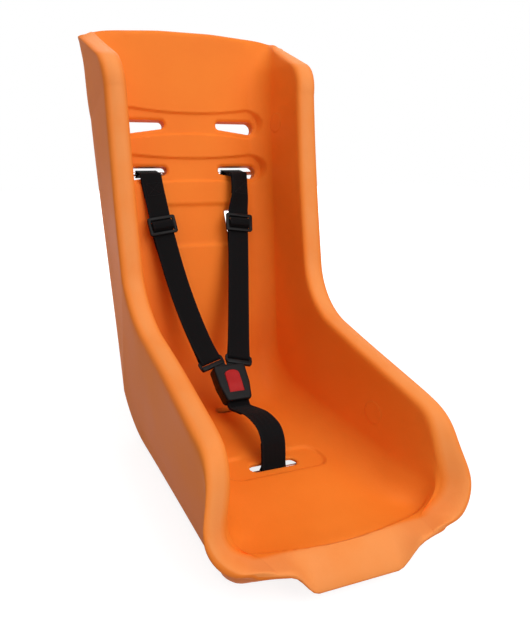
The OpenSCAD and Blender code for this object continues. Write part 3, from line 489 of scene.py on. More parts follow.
def build_shell():
    halves = []
    for k, t in STATIONS:
        h, tag = half_section(k, t)
        halves.append(shape_top(shape_lip(h), k + t))
    K = len(tag) - 1
    n = 2 * K
    angles = [math.radians(v) for v in (14, 28, 42, 56, 69, 80)]
    def whole(h):
        m = h[K - 1:0:-1].copy(); m[:, 0] *= -1
        return np.concatenate([h, m])
    G = np.array([whole(lip_loop(a)) for a in reversed(angles)] + [whole(h) for h in halves]
                 + [whole(top_loop(halves[-1], a)) for a in angles])
    whole_tag = np.concatenate([tag, tag[K - 1:0:-1]])
    u = np.array([0.0] * len(angles) + [k + t for k, t in STATIONS] + [8.0] * len(angles))
    at = np.minimum(np.arange(n), n - np.arange(n))
    lip_part = ease((at - OUTER[-1] - 2) / 4) * (1 - ease((u[:, None] - 0.2) / 0.25))
    inner = np.maximum((whole_tag >= 3) * 1.0, lip_part)
    G = smooth_front(G, u, inner)
    # Round the ends of the lip, where its nose meets the corners of the rim
    G = smooth_where(G, 18, lambda x: ease((x - 72) / 12) * (1 - ease((u[:, None] - 0.14) / 0.26)))
    G = step_pan(G, inner)
    # Even out the top corners, where the wing bands run into the top edge
    G = smooth_where(G, 60, lambda x: ease((u[:, None] - 6.9) / 0.7) * ease((x - 82) / 20)
                     * (1 - ease((x - 134) / 12)))
    for i in range(len(angles), len(G) - len(angles)):
        G[i] = bands(G[i], whole_tag)
    V = G.reshape(-1, 3) * MM
    F = ring_faces(len(G), n)
    # Each end is closed by a strip between the outer and the inner half of its last loop
    for loop in (0, len(G) - 1):
        for side in (1, -1):
            A = [loop * n + (side * j) % n for j in range(OUTER[-1] + 1)]
            B = [loop * n + (side * j) % n for j in range(K, OUTER[-1] - 1, -1)]
            LA, LB = [np.r_[0, np.cumsum(np.linalg.norm(np.diff(V[c], axis=0), axis=1))] for c in (A, B)]
            i = j = 0
            while i < len(A) - 1 or j < len(B) - 1:
                if j == len(B) - 1 or (i < len(A) - 1 and LA[i + 1] / LA[-1] <= LB[j + 1] / LB[-1]):
                    if A[i + 1] != B[j]: F.append((A[i], A[i + 1], B[j]))
                    i += 1
                else:
                    if A[i] != B[j + 1]: F.append((A[i], B[j + 1], B[j]))
                    j += 1
    ob = mesh_object("moulded_shell", V, F)
    # Mask of the rim band and the front of the lip, where the shell material paints a paler sheen (painted
    # highlight)
    rim = np.clip(1.4 * np.exp(-((at - OUTER[-1]) / 5.0) ** 2), 0, 1) * np.ones((len(G), 1))
    lip = ease((front_y + 31 - G[:, :, 1]) / 5) * (at > OUTER[-1] - 6)
    rim_sheen_attr = ob.data.attributes.new("rim", "FLOAT", "POINT")
    rim_sheen_attr.data.foreach_set("value", np.maximum(rim, lip).ravel())
    # Through holes and the hollow underside
    def back(z): return ((0, back_y(z), z), (1, 0, 0), up_back, out_back)
    cs, sn = math.cos(pan_slope), math.sin(pan_slope)
    def pan(y): return ((0, y, pan_z(y)), (1, 0, 0), (0, cs, sn), (0, -sn, cs))
    cuts = [cut([(s * p, q) for p, q in pts], back(z), -back_t - 20, top) for s in (1, -1)
            for pts, z, top in ((SLOT, upper_slot_z, 30), (SLOT, lower_slot_z, 30), (FIXING, fixing_z, 20))]
    cuts += [cut(pts, pan(y), -pan_h, 20) for pts, y in ((CROTCH_SLOT, crotch_y), (DRAIN, drain_y))]
    front, rear = front_y + 76, foot_y - 42
    hollow = box_points(base_w - 2 * skirt_w, rear - front, 20, 12)
    cuts.append(cut(hollow, pan((front + rear) / 2), -pan_t - 60, -pan_t))
    boolean(ob, cuts)
    bm = bmesh.new(); bm.from_mesh(ob.data)
    bmesh.ops.dissolve_degenerate(bm, dist=1e-5, edges=bm.edges)
    bm.to_mesh(ob.data); bm.free()
    soften(ob.data, 38)
    return ob


# ------------------------ materials
def new_material(name, base, rough, **sockets):
    m = bpy.data.materials.new(name)
    m.use_nodes = True
    nt = m.node_tree
    b = nt.nodes["Principled BSDF"]
    b.inputs["Base Color"].default_value = (*base, 1)
    b.inputs["Roughness"].default_value = rough
    for k, v in sockets.items():
        b.inputs[k.replace("_", " ")].default_value = v
    return m, nt, b


def node(nt, kind, **props):
    n = nt.nodes.new(kind)
    for k, v in props.items():
        if k.startswith("in_"):
            n.inputs[k[3:].replace("_", " ")].default_value = v
        else:
            setattr(n, k, v)
    return n


def mix_colour(nt, fac, a, b):
    m = node(nt, "ShaderNodeMix", data_type="RGBA")
    for i, v in ((6, a), (7, b)):
        if isinstance(v, tuple):
            m.inputs[i].default_value = (*v, 1)
        else:
            nt.links.new(v, m.inputs[i])
    nt.links.new(fac, m.inputs[0])
    return m.outputs[2]


def ramp(nt, src, lo, hi, a=0.0, b=1.0):
    r = node(nt, "ShaderNodeMapRange")
    for k, v in zip(("From Min", "From Max", "To Min", "To Max"), (lo, hi, a, b)):
        r.inputs[k].default_value = v
    nt.links.new(src, r.inputs[0])
    return r.outputs[0]


def noise(nt, coord, scale, detail=3.0, rough=0.5):
    n = node(nt, "ShaderNodeTexNoise", in_Scale=scale, in_Detail=detail, in_Roughness=rough)
    nt.links.new(coord, n.inputs["Vector"])
    return n.outputs["Fac"]


def bump(nt, b, height, strength, dist, prev=None):
    n = node(nt, "ShaderNodeBump", in_Strength=strength, in_Distance=dist)
    nt.links.new(height, n.inputs["Height"])
    if prev is not None:
        nt.links.new(prev, n.inputs["Normal"])
    nt.links.new(n.outputs[0], b.inputs["Normal"])
    return n.outputs[0]


def math_node(nt, op, a, c=None):
    n = node(nt, "ShaderNodeMath", operation=op)
    for i, v in enumerate((a, c)):
        if isinstance(v, (int, float)):
            n.inputs[i].default_value = v
        elif v is not None:
            nt.links.new(v, n.inputs[i])
    return n.outputs[0]


def times(nt, a, c): return math_node(nt, "MULTIPLY", a, c)
def object_co(nt): return node(nt, "ShaderNodeTexCoord").outputs["Object"]


def shell_material():
    """Coloured polyethylene with a fine cast grain, faint round mould marks, scuffs on the rims and a painted
    sheen that makes the rim band and lip paler.
    """
    m, nt, b = new_material("orange_polyethylene", (0.86, 0.22, 0.03), 0.5, IOR=1.5, Specular_IOR_Level=0.12)
    co = object_co(nt)
    big, fine = noise(nt, co, 9.0, 4.0), noise(nt, co, 420.0, 3.0, 0.6)
    c1 = mix_colour(nt, ramp(nt, big, 0.3, 0.7), (0.87, 0.195, 0.016), (0.92, 0.23, 0.024))
    c2 = mix_colour(nt, ramp(nt, fine, 0.62, 0.8, 0, 0.22), c1, (0.93, 0.34, 0.08))
    # Scuffs: pale streaks where edges stand out
    streak = node(nt, "ShaderNodeMapping"); streak.inputs["Scale"].default_value = (1, 1, 0.25)
    nt.links.new(co, streak.inputs[0])
    rub = ramp(nt, noise(nt, streak.outputs[0], 55.0, 6.0, 0.7), 0.6, 0.75, 0, 1)
    point = ramp(nt, node(nt, "ShaderNodeNewGeometry").outputs["Pointiness"], 0.51, 0.58)
    c3 = mix_colour(nt, times(nt, times(nt, rub, point), 0.3), c2, (0.93, 0.42, 0.2))
    # The rim band and the front of the lip are painted paler, in patches: a painted sheen that stands in for
    # the light they catch from above
    rim = node(nt, "ShaderNodeAttribute", attribute_name="rim").outputs["Fac"]
    pale = times(nt, rim, ramp(nt, noise(nt, co, 26.0, 5.0), 0.25, 0.6, 0.55, 0.85))
    c4 = mix_colour(nt, pale, c3, (0.90, 0.31, 0.085))
    nt.links.new(c4, b.inputs["Base Color"])
    nt.links.new(ramp(nt, big, 0.3, 0.7, 0.5, 0.6), b.inputs["Roughness"])
    marks = None
    for c in MARKS:
        d = node(nt, "ShaderNodeVectorMath", operation="DISTANCE")
        d.inputs[1].default_value = [v * MM for v in c]
        nt.links.new(co, d.inputs[0])
        e = ramp(nt, d.outputs["Value"], MARK_R * MM, (MARK_R + 1.4) * MM, 1, 0)
        marks = e if marks is None else math_node(nt, "MAXIMUM", marks, e)
    n0 = bump(nt, b, marks, 0.6, 0.0012)
    n1 = bump(nt, b, fine, 0.2, 0.0006, n0)
    bump(nt, b, noise(nt, co, 900.0, 2.0), 0.22, 0.0003, n1)
    return m


def web_material():
    """Black webbing: herringbone ribs, firm selvedges and a little fuzz. Its UVs are in millimetres."""
    m, nt, b = new_material("webbing", (0.003, 0.003, 0.0033), 0.8, Sheen_Weight=0.02, Sheen_Roughness=0.45,
                            Specular_IOR_Level=0.08)
    uv = node(nt, "ShaderNodeUVMap").outputs[0]
    sep = node(nt, "ShaderNodeSeparateXYZ"); nt.links.new(uv, sep.inputs[0])
    x, y = sep.outputs[0], sep.outputs[1]
    ribs = math_node(nt, "PINGPONG", x, 3.0)
    yarn = math_node(nt, "SINE", times(nt, math_node(nt, "ADD", y, ribs), 2 * math.pi / 1.3))
    warp = math_node(nt, "SINE", times(nt, x, 2 * math.pi / 1.1))
    h = math_node(nt, "ADD", times(nt, yarn, 0.6), times(nt, warp, 0.4))
    f = ramp(nt, h, -1, 1)
    fuzz = noise(nt, uv, 2.2, 3.0)
    edge = ramp(nt, math_node(nt, "ABSOLUTE", x), web_w / 2 - 2.6, web_w / 2 - 2.0)
    c = mix_colour(nt, f, (0.0015, 0.0015, 0.0018), (0.006, 0.006, 0.0066))
    c = mix_colour(nt, times(nt, edge, 0.5), c, (0.008, 0.008, 0.0086))
    c = mix_colour(nt, ramp(nt, fuzz, 0.55, 0.8, 0, 0.5), c, (0.010, 0.010, 0.0108))
    nt.links.new(c, b.inputs["Base Color"])
    n0 = bump(nt, b, f, 0.55, 0.0004)
    bump(nt, b, edge, 0.5, 0.0003, n0)
    return m


def plastic_material(name, lo, hi, rough):
    """Moulded plastic with a fine grain and a slight cloud in its colour."""
    m, nt, b = new_material(name, lo, rough, Specular_IOR_Level=0.12)
    co = object_co(nt)
    f = noise(nt, co, 900.0, 2.0)
    nt.links.new(mix_colour(nt, ramp(nt, noise(nt, co, 60.0), 0.3, 0.7), lo, hi), b.inputs["Base Color"])
    nt.links.new(ramp(nt, noise(nt, co, 200.0), 0.3, 0.7, rough - 0.06, rough + 0.06), b.inputs["Roughness"])
    bump(nt, b, f, 0.2, 0.0002)
    return m


def metal_material():
    m, nt, b = new_material("plated_steel", (0.8, 0.8, 0.81), 0.2, Metallic=1.0)
    co = object_co(nt)
    f = noise(nt, co, 300.0, 4.0)
    c = mix_colour(nt, ramp(nt, f, 0.3, 0.7), (0.76, 0.76, 0.77), (0.86, 0.86, 0.87))
    nt.links.new(c, b.inputs["Base Color"])
    nt.links.new(ramp(nt, f, 0.3, 0.7, 0.16, 0.26), b.inputs["Roughness"])
    bump(nt, b, f, 0.15, 0.0002)
    return m


# Faint round mould marks on the inner walls: (x, y, z), the same on both sides, and their radius in mm
MARKS = [(sx * x, y, z) for x, y, z in ((112, 155, 417), (103, -109, 101)) for sx in (1, -1)]
MARK_R = 11.8
M_SHELL, M_WEB = shell_material(), web_material()
M_BLACK = plastic_material("black_nylon", (0.004, 0.004, 0.0043), (0.007, 0.007, 0.0075), 0.44)
M_RED = plastic_material("red_button", (0.35, 0.008, 0.009), (0.41, 0.012, 0.012), 0.42)
M_METAL = metal_material()
M_THREAD = plastic_material("sewing_thread", (0.008, 0.008, 0.0085), (0.014, 0.014, 0.015), 0.6)


def dress(ob, mat, nodes_of, body="seat"):
    if mat: ob.data.materials.append(mat)
    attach(ob, body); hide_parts(*nodes_of)


dress(build_shell(), M_SHELL, ["shell"])

# ------------------------ harness places, as in the CAD source
slider_drop, slider_h, slider_t = 68.0, 25.0, 3.0
buckle_from_back, buckle_z, buckle_tilt, buckle_len = 94.0, 74.0, math.radians(42), 50.0
buckle_top_w, buckle_low_w, wall, front_t, rear_t = 45.0, 34.0, 1.8, 8.0, 10.4
button_w, button_len, travel, blade_t, pin_d, rod_d = 20.0, 30.0, 2.4, 2.4, 4.0, 7.0
layer, clear = web_t + gap, web_t / 2 + gap
half_layer = layer / 2
X = np.array([1.0, 0, 0])
buckle_up = np.array([0, math.cos(buckle_tilt), math.sin(buckle_tilt)])
buckle_out = np.array([0, -math.sin(buckle_tilt), math.cos(buckle_tilt)])
buckle_foot = np.array([0, foot_y - buckle_from_back, buckle_z])
def buckle_point(x, up, out): return buckle_foot + X * x + buckle_up * up + buckle_out * out


strap_x = slot_x - 3
slot_floor = -slot_h / 2 + (slot_h - slot_inner_h) * (slot_len - slot_h / 2 - (strap_x - web_w / 2 - slot_x
    + slot_len / 2)) / (slot_len - slot_h / 2 - slot_inner_h / 2)
tongue_x, head_up = 21.0, buckle_len + 12
lower_slot = np.array([strap_x, back_y(lower_slot_z), lower_slot_z])
strap_top = lower_slot + up_back * (slot_floor - 4) + out_back * (clear + half_layer)
strap_end = buckle_point(tongue_x, head_up, 0)
strap_path = [strap_top, strap_top - up_back * 84 + out_back * 11 - X * 9, strap_end + [24, 53, 69], strap_end]
def strap_at(t):
    p = strap_path
    return (1 - t)**3 * p[0] + 3 * t * (1 - t)**2 * p[1] + 3 * t**2 * (1 - t) * p[2] + t**3 * p[3]
def strap_dir(t): return unit(strap_at(t + 0.005) - strap_at(t - 0.005))
tongue_splay = math.atan(strap_dir(1)[0] / (strap_dir(1) @ buckle_up))
tongue_wide = X * math.cos(tongue_splay) - buckle_up * math.sin(tongue_splay)
def strap_wide(t):
    d = strap_dir(t)
    return unit(lerp(unit(X - d * d[0]), tongue_wide, ease((t - 0.7) / 0.3)))
def strap_out(t): return np.cross(strap_dir(t), strap_wide(t))
def strap_place(t, off): return (strap_at(t) + strap_out(t) * off, strap_wide(t))
def strap_turn(t, up, out): return (strap_at(t) - strap_dir(t) * up + strap_out(t) * out, strap_wide(t))
def strap_run(a, b, n, off): return [strap_place(lerp(a, b, i / n), off) for i in range(n + 1)]
def slot_turn(up, out): return (lower_slot + up_back * (slot_floor + up) + out_back * out, X)


strap_len = np.linalg.norm(strap_end - strap_top)
slider_at = slider_drop / strap_len
slider_bar, slider_mid = 4.2, 4.4
slider_window = (slider_h - 2 * slider_bar - slider_mid) / 2
slider_off = half_layer + slider_t / 2 + clear + 0.1
tongue_bar, tongue_slot = 4.4, 3.0
rod_r = (rod_d / 2 + clear) / math.cos(math.radians(11))
rod_up, rod_out = web_t + 2 * gap + rod_d / 2, -back_t - gap - rod_d / 2
weave_m, weave_h, weave_k = slider_mid / 2, slider_t / 2, clear + 0.1
weave_in, weave_back = weave_m + slider_window, -weave_h - weave_k
trim = 0.72  # share of a turn at which a strap's path cuts its corner
weave_cut, weave_rest = trim * weave_k, (1 - trim) * weave_k
def weave(up, out): return strap_turn(slider_at, up, slider_off + out)
def bar_corner(k, s):
    return [weave(s * weave_m, weave_h + k), weave(s * (weave_m + trim * k), weave_h + trim * k),
            weave(s * (weave_m + k), weave_h)]


def shoulder_places():
    """Places along the middle of a shoulder strap: (point, direction across)."""
    top = clear + layer
    def slot_turns(*pairs): return [slot_turn(*p) for p in pairs]
    def weaves(*pairs): return [weave(*p) for p in pairs]
    c = strap_run(26 / strap_len, 0.02, 3, -half_layer)
    c += slot_turns((-0.5, clear + 0.05), (0.65 * clear, 0.75 * clear), (clear, -0.6), (clear, -back_t))
    c += [slot_turn(rod_up - rod_r * cos_d(22 * i), rod_out - rod_r * sin_d(22 * i)) for i in range(10)]
    c += slot_turns((top + 0.1, -1.5), (trim * top + 0.1, 0.74 * top), (-0.5, top + 0.1))
    c += strap_run(0.02, slider_at - 24 / strap_len, 2, half_layer)
    c += weaves((weave_in + slider_bar + 1, weave_back), (weave_in, weave_back),
                (weave_in - weave_cut, weave_back + weave_rest))
    c += bar_corner(weave_k + layer, 1)[::-1] + bar_corner(weave_k + layer, -1)
    c += weaves((weave_cut - weave_in, weave_back + weave_rest), (-weave_in, weave_back),
                (-weave_in - slider_bar - 1, weave_back))
    c += strap_run(slider_at + 20 / strap_len, 0.93, 5, half_layer)
    r = (tongue_bar / 2 + clear + 0.2) / cos_d(10)
    c += [strap_turn(1, -r * sin_d(8 + 20.5 * i), r * cos_d(8 + 20.5 * i)) for i in range(9)]
    c += strap_run(0.93, slider_at + 34 / strap_len, 4, -half_layer)
    c += weaves((-27, weave_back - 2 * layer - 0.7), (-8, weave_back - 2 * layer - 0.5),
                (-3, weave_back - 1.3 * layer), (0, weave_back), (weave_m, weave_back),
                (weave_m + weave_cut, weave_rest + weave_back), (weave_m + weave_k, -weave_h))
    c += bar_corner(weave_k, 1)[::-1] + bar_corner(weave_k, -1)
    return c + weaves((-weave_m - weave_k, 0.3 - weave_h), (-weave_m - weave_k - 0.7, weave_back),
                      (-weave_m - weave_k - 2.6, weave_back - layer), (-weave_in, weave_back - layer - 0.2),
                      (-20, weave_back - layer - 0.2))


pin_up, pin_out = 6.4, -2.4
crotch_rod_r = (rod_d / 2 + clear + 0.06) / cos_d(13)
rod_place = np.array([0, crotch_y, pan_z(crotch_y) - pan_t - gap - rod_d / 2 - 1])
crotch_top = pan_z(crotch_y)
pin_place, strap_in = buckle_point(0, pin_up, pin_out), buckle_point(0, -6, pin_out + 0.8)
crotch_knots = [(crotch_y + y, crotch_top + z) for y, z in ((0.3, 1), (5, 24), (17, 36), (41, 38), (64, 33))]
crotch_knots += [tuple(strap_in[1:]), tuple(pin_place[1:])]
def crotch_at(u):
    return np.array([0] + [track([(i, k[c]) for i, k in enumerate(crotch_knots)], u) for c in (0, 1)])
def crotch_out(u): return np.cross(X, unit(crotch_at(u + 0.02) - crotch_at(u - 0.02)))
def crotch_place(u, off): return (crotch_at(u) + crotch_out(u) * off, X)
def yz_turn(p, r, a): return (p + r * np.array([0, cos_d(a), sin_d(a)]), X)


def crotch_places():
    """Places along the middle of the crotch strap."""
    c = [crotch_place(lerp(0.95, 0.1, i / 3), -half_layer) for i in range(4)]
    c += [(np.array([0, crotch_y + half_layer, crotch_top - 4]), X)]
    c += [yz_turn(rod_place, crotch_rod_r, 12 - 25.5 * i) for i in range(9)]
    c += [(np.array([0, crotch_y - half_layer, crotch_top - 4]), X)]
    c += [crotch_place(lerp(0.1, 5, i / 24), half_layer) for i in range(25)]
    c += [yz_turn(pin_place, (pin_d / 2 + clear) / cos_d(13), 42 + 90 + 16 - 26.5 * i) for i in range(9)]
    return c + [crotch_place(lerp(5, 3.7, i / 5), -half_layer) for i in range(6)]


def roll_at_slot(P):
    """The right strap lies half turned just under its slot, as webbing does after long use."""
    q = P - lower_slot
    down, out = -(q @ up_back), q @ out_back
    k = ease((down + 6) / 14) * (1 - ease((down - 24) / 34)) * (out > -1.2) * (np.abs(q[:, 0]) < 34)
    a = np.radians(19) * k
    c = np.interp(down, (0, 60), (0, -6))
    x, o = q[:, 0] - c, out - clear
    x2, o2 = x * np.cos(a) + o * np.sin(a), o * np.cos(a) - x * np.sin(a)
    return lower_slot - np.outer(down, up_back) + np.outer(x2 + c, X) + np.outer(
        o2 + clear + web_w / 2 * np.sin(np.abs(a)), out_back)


stitch, thread_r = 3.0, 0.28
THREAD_Z = [-0.15] * 3 + [0.2] * 2 + [-0.15] * 3
THREAD_F = ((0, 1, 3), (0, 3, 2), (1, 5, 4, 3), (3, 4, 6, 2), (5, 7, 4), (4, 7, 6), (0, 2, 6, 7, 5, 1))


def cut_corners(A):
    """Cut each corner of a path at a quarter of its sides, and keep the ends."""
    pairs = np.stack([0.75 * A[:-1] + 0.25 * A[1:], 0.25 * A[:-1] + 0.75 * A[1:]], 1)
    return np.concatenate([A[:1], pairs.reshape(-1, 3), A[-1:]])


def webbing(name, places, side=1, seams=(), shape=None):
    """Flat strap along places, with round selvedges, UVs in millimetres and sewn seams."""
    C, W = np.array([p[0] for p in places]), np.array([p[1] for p in places])
    for _ in range(3):
        C, W = cut_corners(C), cut_corners(W)
    keep = np.r_[True, np.linalg.norm(np.diff(C, axis=0), axis=1) > 0.05]
    C, W = C[keep], W[keep]
    W /= np.linalg.norm(W, axis=1)[:, None]
    seg = np.diff(C, axis=0); length = np.linalg.norm(seg, axis=1); seg /= length[:, None]
    d = np.concatenate([seg[:1] * 2, seg[:-1] + seg[1:], seg[-1:] * 2])
    up = np.cross(d / np.linalg.norm(d, axis=1)[:, None], W) / (np.linalg.norm(d, axis=1) / 2)[:, None]
    run = np.r_[0, np.cumsum(length)]
    h, r = web_t / 2, web_t / 2
    flat = np.array([-1, -0.93, -0.8, -0.5, 0, 0.5, 0.8, 0.93, 1]) * (web_w / 2 - r)
    face = np.array([1, 1.0, 0.9, 0.92, 0.92, 0.92, 0.9, 1.0, 1]) * h
    ring = ([(x, f) for x, f in zip(flat, face)]
            + [(web_w / 2 - r + r * cos_d(a), r * sin_d(a)) for a in (60, 30, 0, -30, -60)]
            + [(x, -f) for x, f in zip(flat[::-1], face)]
            + [(-web_w / 2 + r - r * cos_d(a), r * sin_d(a)) for a in (-60, -30, 0, 30, 60)])
    ring = np.array(ring); n = len(ring)
    P = (C[:, None] + W[:, None] * ring[None, :, :1] + up[:, None] * ring[None, :, 1:]).reshape(-1, 3)
    F = ring_faces(len(C), n) + end_faces(len(P), n)
    count = len(F)
    uv = [(float(ring[v % n, 0]), float(run[v // n])) for v in range(len(P))]
    V = list(P)
    # Stitches: short threads along each seam's lines, in its frame (x across, y along, z out)
    for seam, lines in seams:
        for (x0, y0), (x1, y1) in lines:
            k = max(1, int(math.hypot(x1 - x0, y1 - y0) / stitch))
            for i in range(k):
                a, b = [np.array([lerp(x0, x1, (i + s) / k), lerp(y0, y1, (i + s) / k)]) for s in (0.12, 0.84)]
                t = unit(b - a) * thread_r
                w = np.array([-t[1], t[0]])
                base = len(V)
                points = (a - t, a - w, a + w, a, b, b - w, b + w, b + t)
                V += [seam(*p, z) for p, z in zip(points, THREAD_Z)]
                uv += [(0.0, 0.0)] * len(points)
                F += [tuple(base + q for q in f) for f in THREAD_F]
    V = np.array(V)
    if shape is not None: V = shape(V)
    V = V * [side, 1, 1] * MM
    me = bpy.data.meshes.new(name)
    me.from_pydata([tuple(v) for v in V], [], F)
    layer_uv = me.uv_layers.new(name="UVMap")
    layer_uv.data.foreach_set("uv", np.array([uv[l.vertex_index] for l in me.loops], float).ravel())
    me.materials.append(M_WEB); me.materials.append(M_THREAD)
    for p in me.polygons:
        if p.index >= count: p.material_index = 1
    even_normals(me)
    soften(me, 50)
    return link(name, me)


BOX_X = [((-10, 0), (10, 0)), ((10, 0), (10, 17)), ((10, 17), (-10, 17)), ((-10, 17), (-10, 0)),
         ((-10, 0), (10, 17)), ((10, 0), (-10, 17))]
def strap_seam(x, y, z):
    t = 0.03 + y / strap_len
    return strap_at(t) + strap_wide(t) * x + strap_out(t) * (half_layer + web_t / 2 + z)
def crotch_seam(x, y, z):
    u = 4.75 - y / 28
    return crotch_at(u) + X * x + crotch_out(u) * (half_layer + web_t / 2 + z)


for side, name in SIDES:
    strap = webbing(name + "_webbing", shoulder_places(), side, [(strap_seam, BOX_X)],
                    roll_at_slot if side == 1 else None)
    dress(strap, None, [name + "_shoulder_strap"])
dress(webbing("crotch_webbing", crotch_places(), 1, [(crotch_seam, BOX_X)]), None, ["crotch_strap"])


# ------------------------ harness hardware
def round_outline(v, r, n=8):
    v = [np.array(p, float) for p in v]
    out = []
    for k in range(len(v)):
        a, b = v[k - 1], v[(k + 1) % len(v)]
        out += [corner_point(a, v[k], b, r, i / n) for i in range(n + 1)]
    return out


def rect(w, h): return [(-w / 2, -h / 2), (w / 2, -h / 2), (w / 2, h / 2), (-w / 2, h / 2)]


def bevelled(ob, width):
    mod = ob.modifiers.new("bevel", "BEVEL")
    mod.width, mod.segments, mod.limit_method, mod.angle_limit = width * MM, 3, "ANGLE", math.radians(35)
    mod.harden_normals = True
    apply(ob, mod)
    soften(ob.data, 60)
    return ob


def loft(name, rings, place):
    """Closed form over rings of (points in a plane, height, or a height for each point)."""
    o, ex, ey, ez = [np.asarray(v, float) for v in place]
    n = len(rings[0][0])
    V = [(o + ex * p[0] + ey * p[1] + ez * (h if np.isscalar(h) else h[i])) * MM
         for pts, h in rings for i, p in enumerate(pts)]
    return mesh_object(name, V, ring_faces(len(rings), n) + end_faces(len(V), n))


def mirrored(ob, side):
    if side < 0:
        ob.data.transform(Matrix.Scale(-1, 4, (1, 0, 0))); ob.data.flip_normals()
    return ob


def buckle_frame(x=0.0, up=0.0, out=0.0, turn=0.0):
    ex = X * math.cos(turn) - buckle_up * math.sin(turn)
    return buckle_point(x, up, out), ex, np.cross(buckle_out, ex), buckle_out


# Sliders: three bars with round edges
slider_w = web_w + 10
across, down = strap_wide(slider_at), -strap_dir(slider_at)
fr = (strap_at(slider_at) + strap_out(slider_at) * slider_off, across, down, np.cross(across, down))
window = round_outline(rect(web_w + 0.6, slider_window), 0.9, 3)
window_up = (slider_mid + slider_window) / 2
for side, name in SIDES:
    ob = prism(name + "_slider_body", round_outline(rect(slider_w, slider_h), 3.2), fr,
               -slider_t / 2, slider_t / 2)
    cuts = [cut([(p, q + up) for p, q in window], fr, -9, 9) for up in (window_up, -window_up)]
    bevelled(boolean(ob, cuts), 0.7)
    dress(mirrored(ob, side), M_BLACK, [name + "_slider"])

# Tongues: a plate with a strap slot, in a moulded head with a thicker grip
blade_in, blade_w, hole_up = 26.0, 16.6, buckle_len - 15
head_fr = buckle_frame(tongue_x, head_up, 0, tongue_splay)


def block(name, w, h, r, n, draw, shift, half):
    """Rounded block on a tongue: its outline is drawn in by m at each (m, height) of half."""
    steps = [(m, -z) for m, z in half] + [(m, z) for m, z in half[::-1]]
    return loft(name, [([(p * (1 - m / draw), q * (1 - 2 * m / h) + shift)
                         for p, q in round_outline(rect(w, h), r, n)], z) for m, z in steps], head_fr)


for side, name in SIDES:
    fr = buckle_frame()
    outline = [(gap, buckle_len - blade_in), (gap + blade_w - 2, buckle_len - blade_in),
               (gap + blade_w, buckle_len - blade_in + 4), (gap + blade_w, buckle_len + 1),
               (tongue_x + 8, head_up - 9), (tongue_x, head_up - 7), (3, head_up - 3), (gap, buckle_len + 1)]
    ob = prism(name + "_tongue_head", outline, fr, -blade_t / 2, blade_t / 2)
    hole = cut([(gap + blade_w / 2 + p, hole_up + q) for p, q in rect(9, 8)], fr, -5, 5)
    head = block("head", web_w + 7, 12, 3.5, 8, 18, tongue_bar / 2 - 6, ((0.5, 1.3), (0.15, 1.15), (0, 0.8)))
    grip = block("grip", 35, 6.4, 2.6, 5, 17.5, -8.6, ((0.9, 2.9), (0.35, 2.6), (0, 1.9)))
    slot = cut([(p, q - (tongue_bar + tongue_slot) / 2) for p, q in rect(web_w + 0.8, tongue_slot)], head_fr,
               -6, 6)
    boolean(ob, [head, grip], "UNION")
    boolean(ob, [hole, slot])
    soften(ob.data, 45)
    dress(mirrored(ob, side), M_BLACK, [name + "_tongue"])


def buckle_plan(m):
    """Outline of the buckle, drawn in by m."""
    low, top, waist, end = buckle_low_w / 2 - m, buckle_top_w / 2 - m, buckle_len * 0.45, buckle_len - m
    return round_outline([(-low, m), (low, m), (top - 1, waist), (top, end), (-top, end), (1 - top, waist)],
                         max(1, 5 - m), 7)


button_up, button_arch = buckle_len * 0.53, 6.0
button_low = button_up - button_len / 2
def button_plan(m):
    """Outline of the button, grown by m."""
    half, arch_up = button_w / 2 + m, button_up + button_len / 2 - button_arch
    return ([(-half, button_low - m), (half, button_low - m)]
            + [(half * cos_d(a), arch_up + (button_arch + m) * sin_d(a)) for a in np.linspace(0, 180, 18)])


fr = buckle_frame()
edge_r = 2.6
arcs = [(edge_r * (1 - cos_d(a)), edge_r * sin_d(a)) for a in range(0, 91, 15)]
front = loft("buckle_front", [(buckle_plan(0), gap / 2)]
             + [(buckle_plan(m), front_t - edge_r + h) for m, h in arcs], fr)
rear = loft("buckle_rear", [(buckle_plan(m), -(rear_t - edge_r + h)) for m, h in arcs[::-1]]
            + [(buckle_plan(0), -gap / 2)], fr)
mouth = [(p, q + buckle_len) for p, q in rect(2 * (gap + blade_w + gap), 8)]
foot = rect(web_w + 3 * gap, 8)
blade_room, strap_room = blade_t / 2 + gap, pin_d / 2 + web_t + 2.2 * gap
boolean(front, [cut(buckle_plan(wall), fr, -1, front_t - wall), cut(button_plan(gap), fr, -1, 12),
                cut(mouth, fr, -1, blade_room), cut(foot, fr, -1, pin_out + strap_room)])
boolean(rear, [cut(buckle_plan(wall), fr, wall - rear_t, 2), cut(mouth, fr, -blade_room, 4),
               cut(foot, fr, pin_out - strap_room, 9)])
for ob, cover in ((front, "buckle_front_cover"), (rear, "buckle_rear_cover")):
    soften(ob.data, 40)
    dress(ob, M_BLACK, [cover])

# Button: a cap with soft edges whose lower end falls away, on its flange and post
cap_top = front_t + travel / 2
cap_fall, cap_dish = 1.5, 0.45
flange_t = 1.8
flange_low = front_t - wall - gap - flange_t
latch_top = -blade_t / 2 - 3 * gap
post_up = buckle_len - blade_in - 5
def dense(pts):
    sides = zip(pts, pts[1:] + pts[:1])
    return [tuple(lerp(np.array(a), np.array(b), i / 4)) for a, b in sides for i in range(4)]
def fall(q): return cap_fall * float(ease((0.36 - (q - button_low) / button_len) / 0.3))
def cap_ring(m, h):
    pts = dense(button_plan(m))
    return pts, [h - fall(q) * float(ease((h - flange_low - 3) / 2)) for p, q in pts]


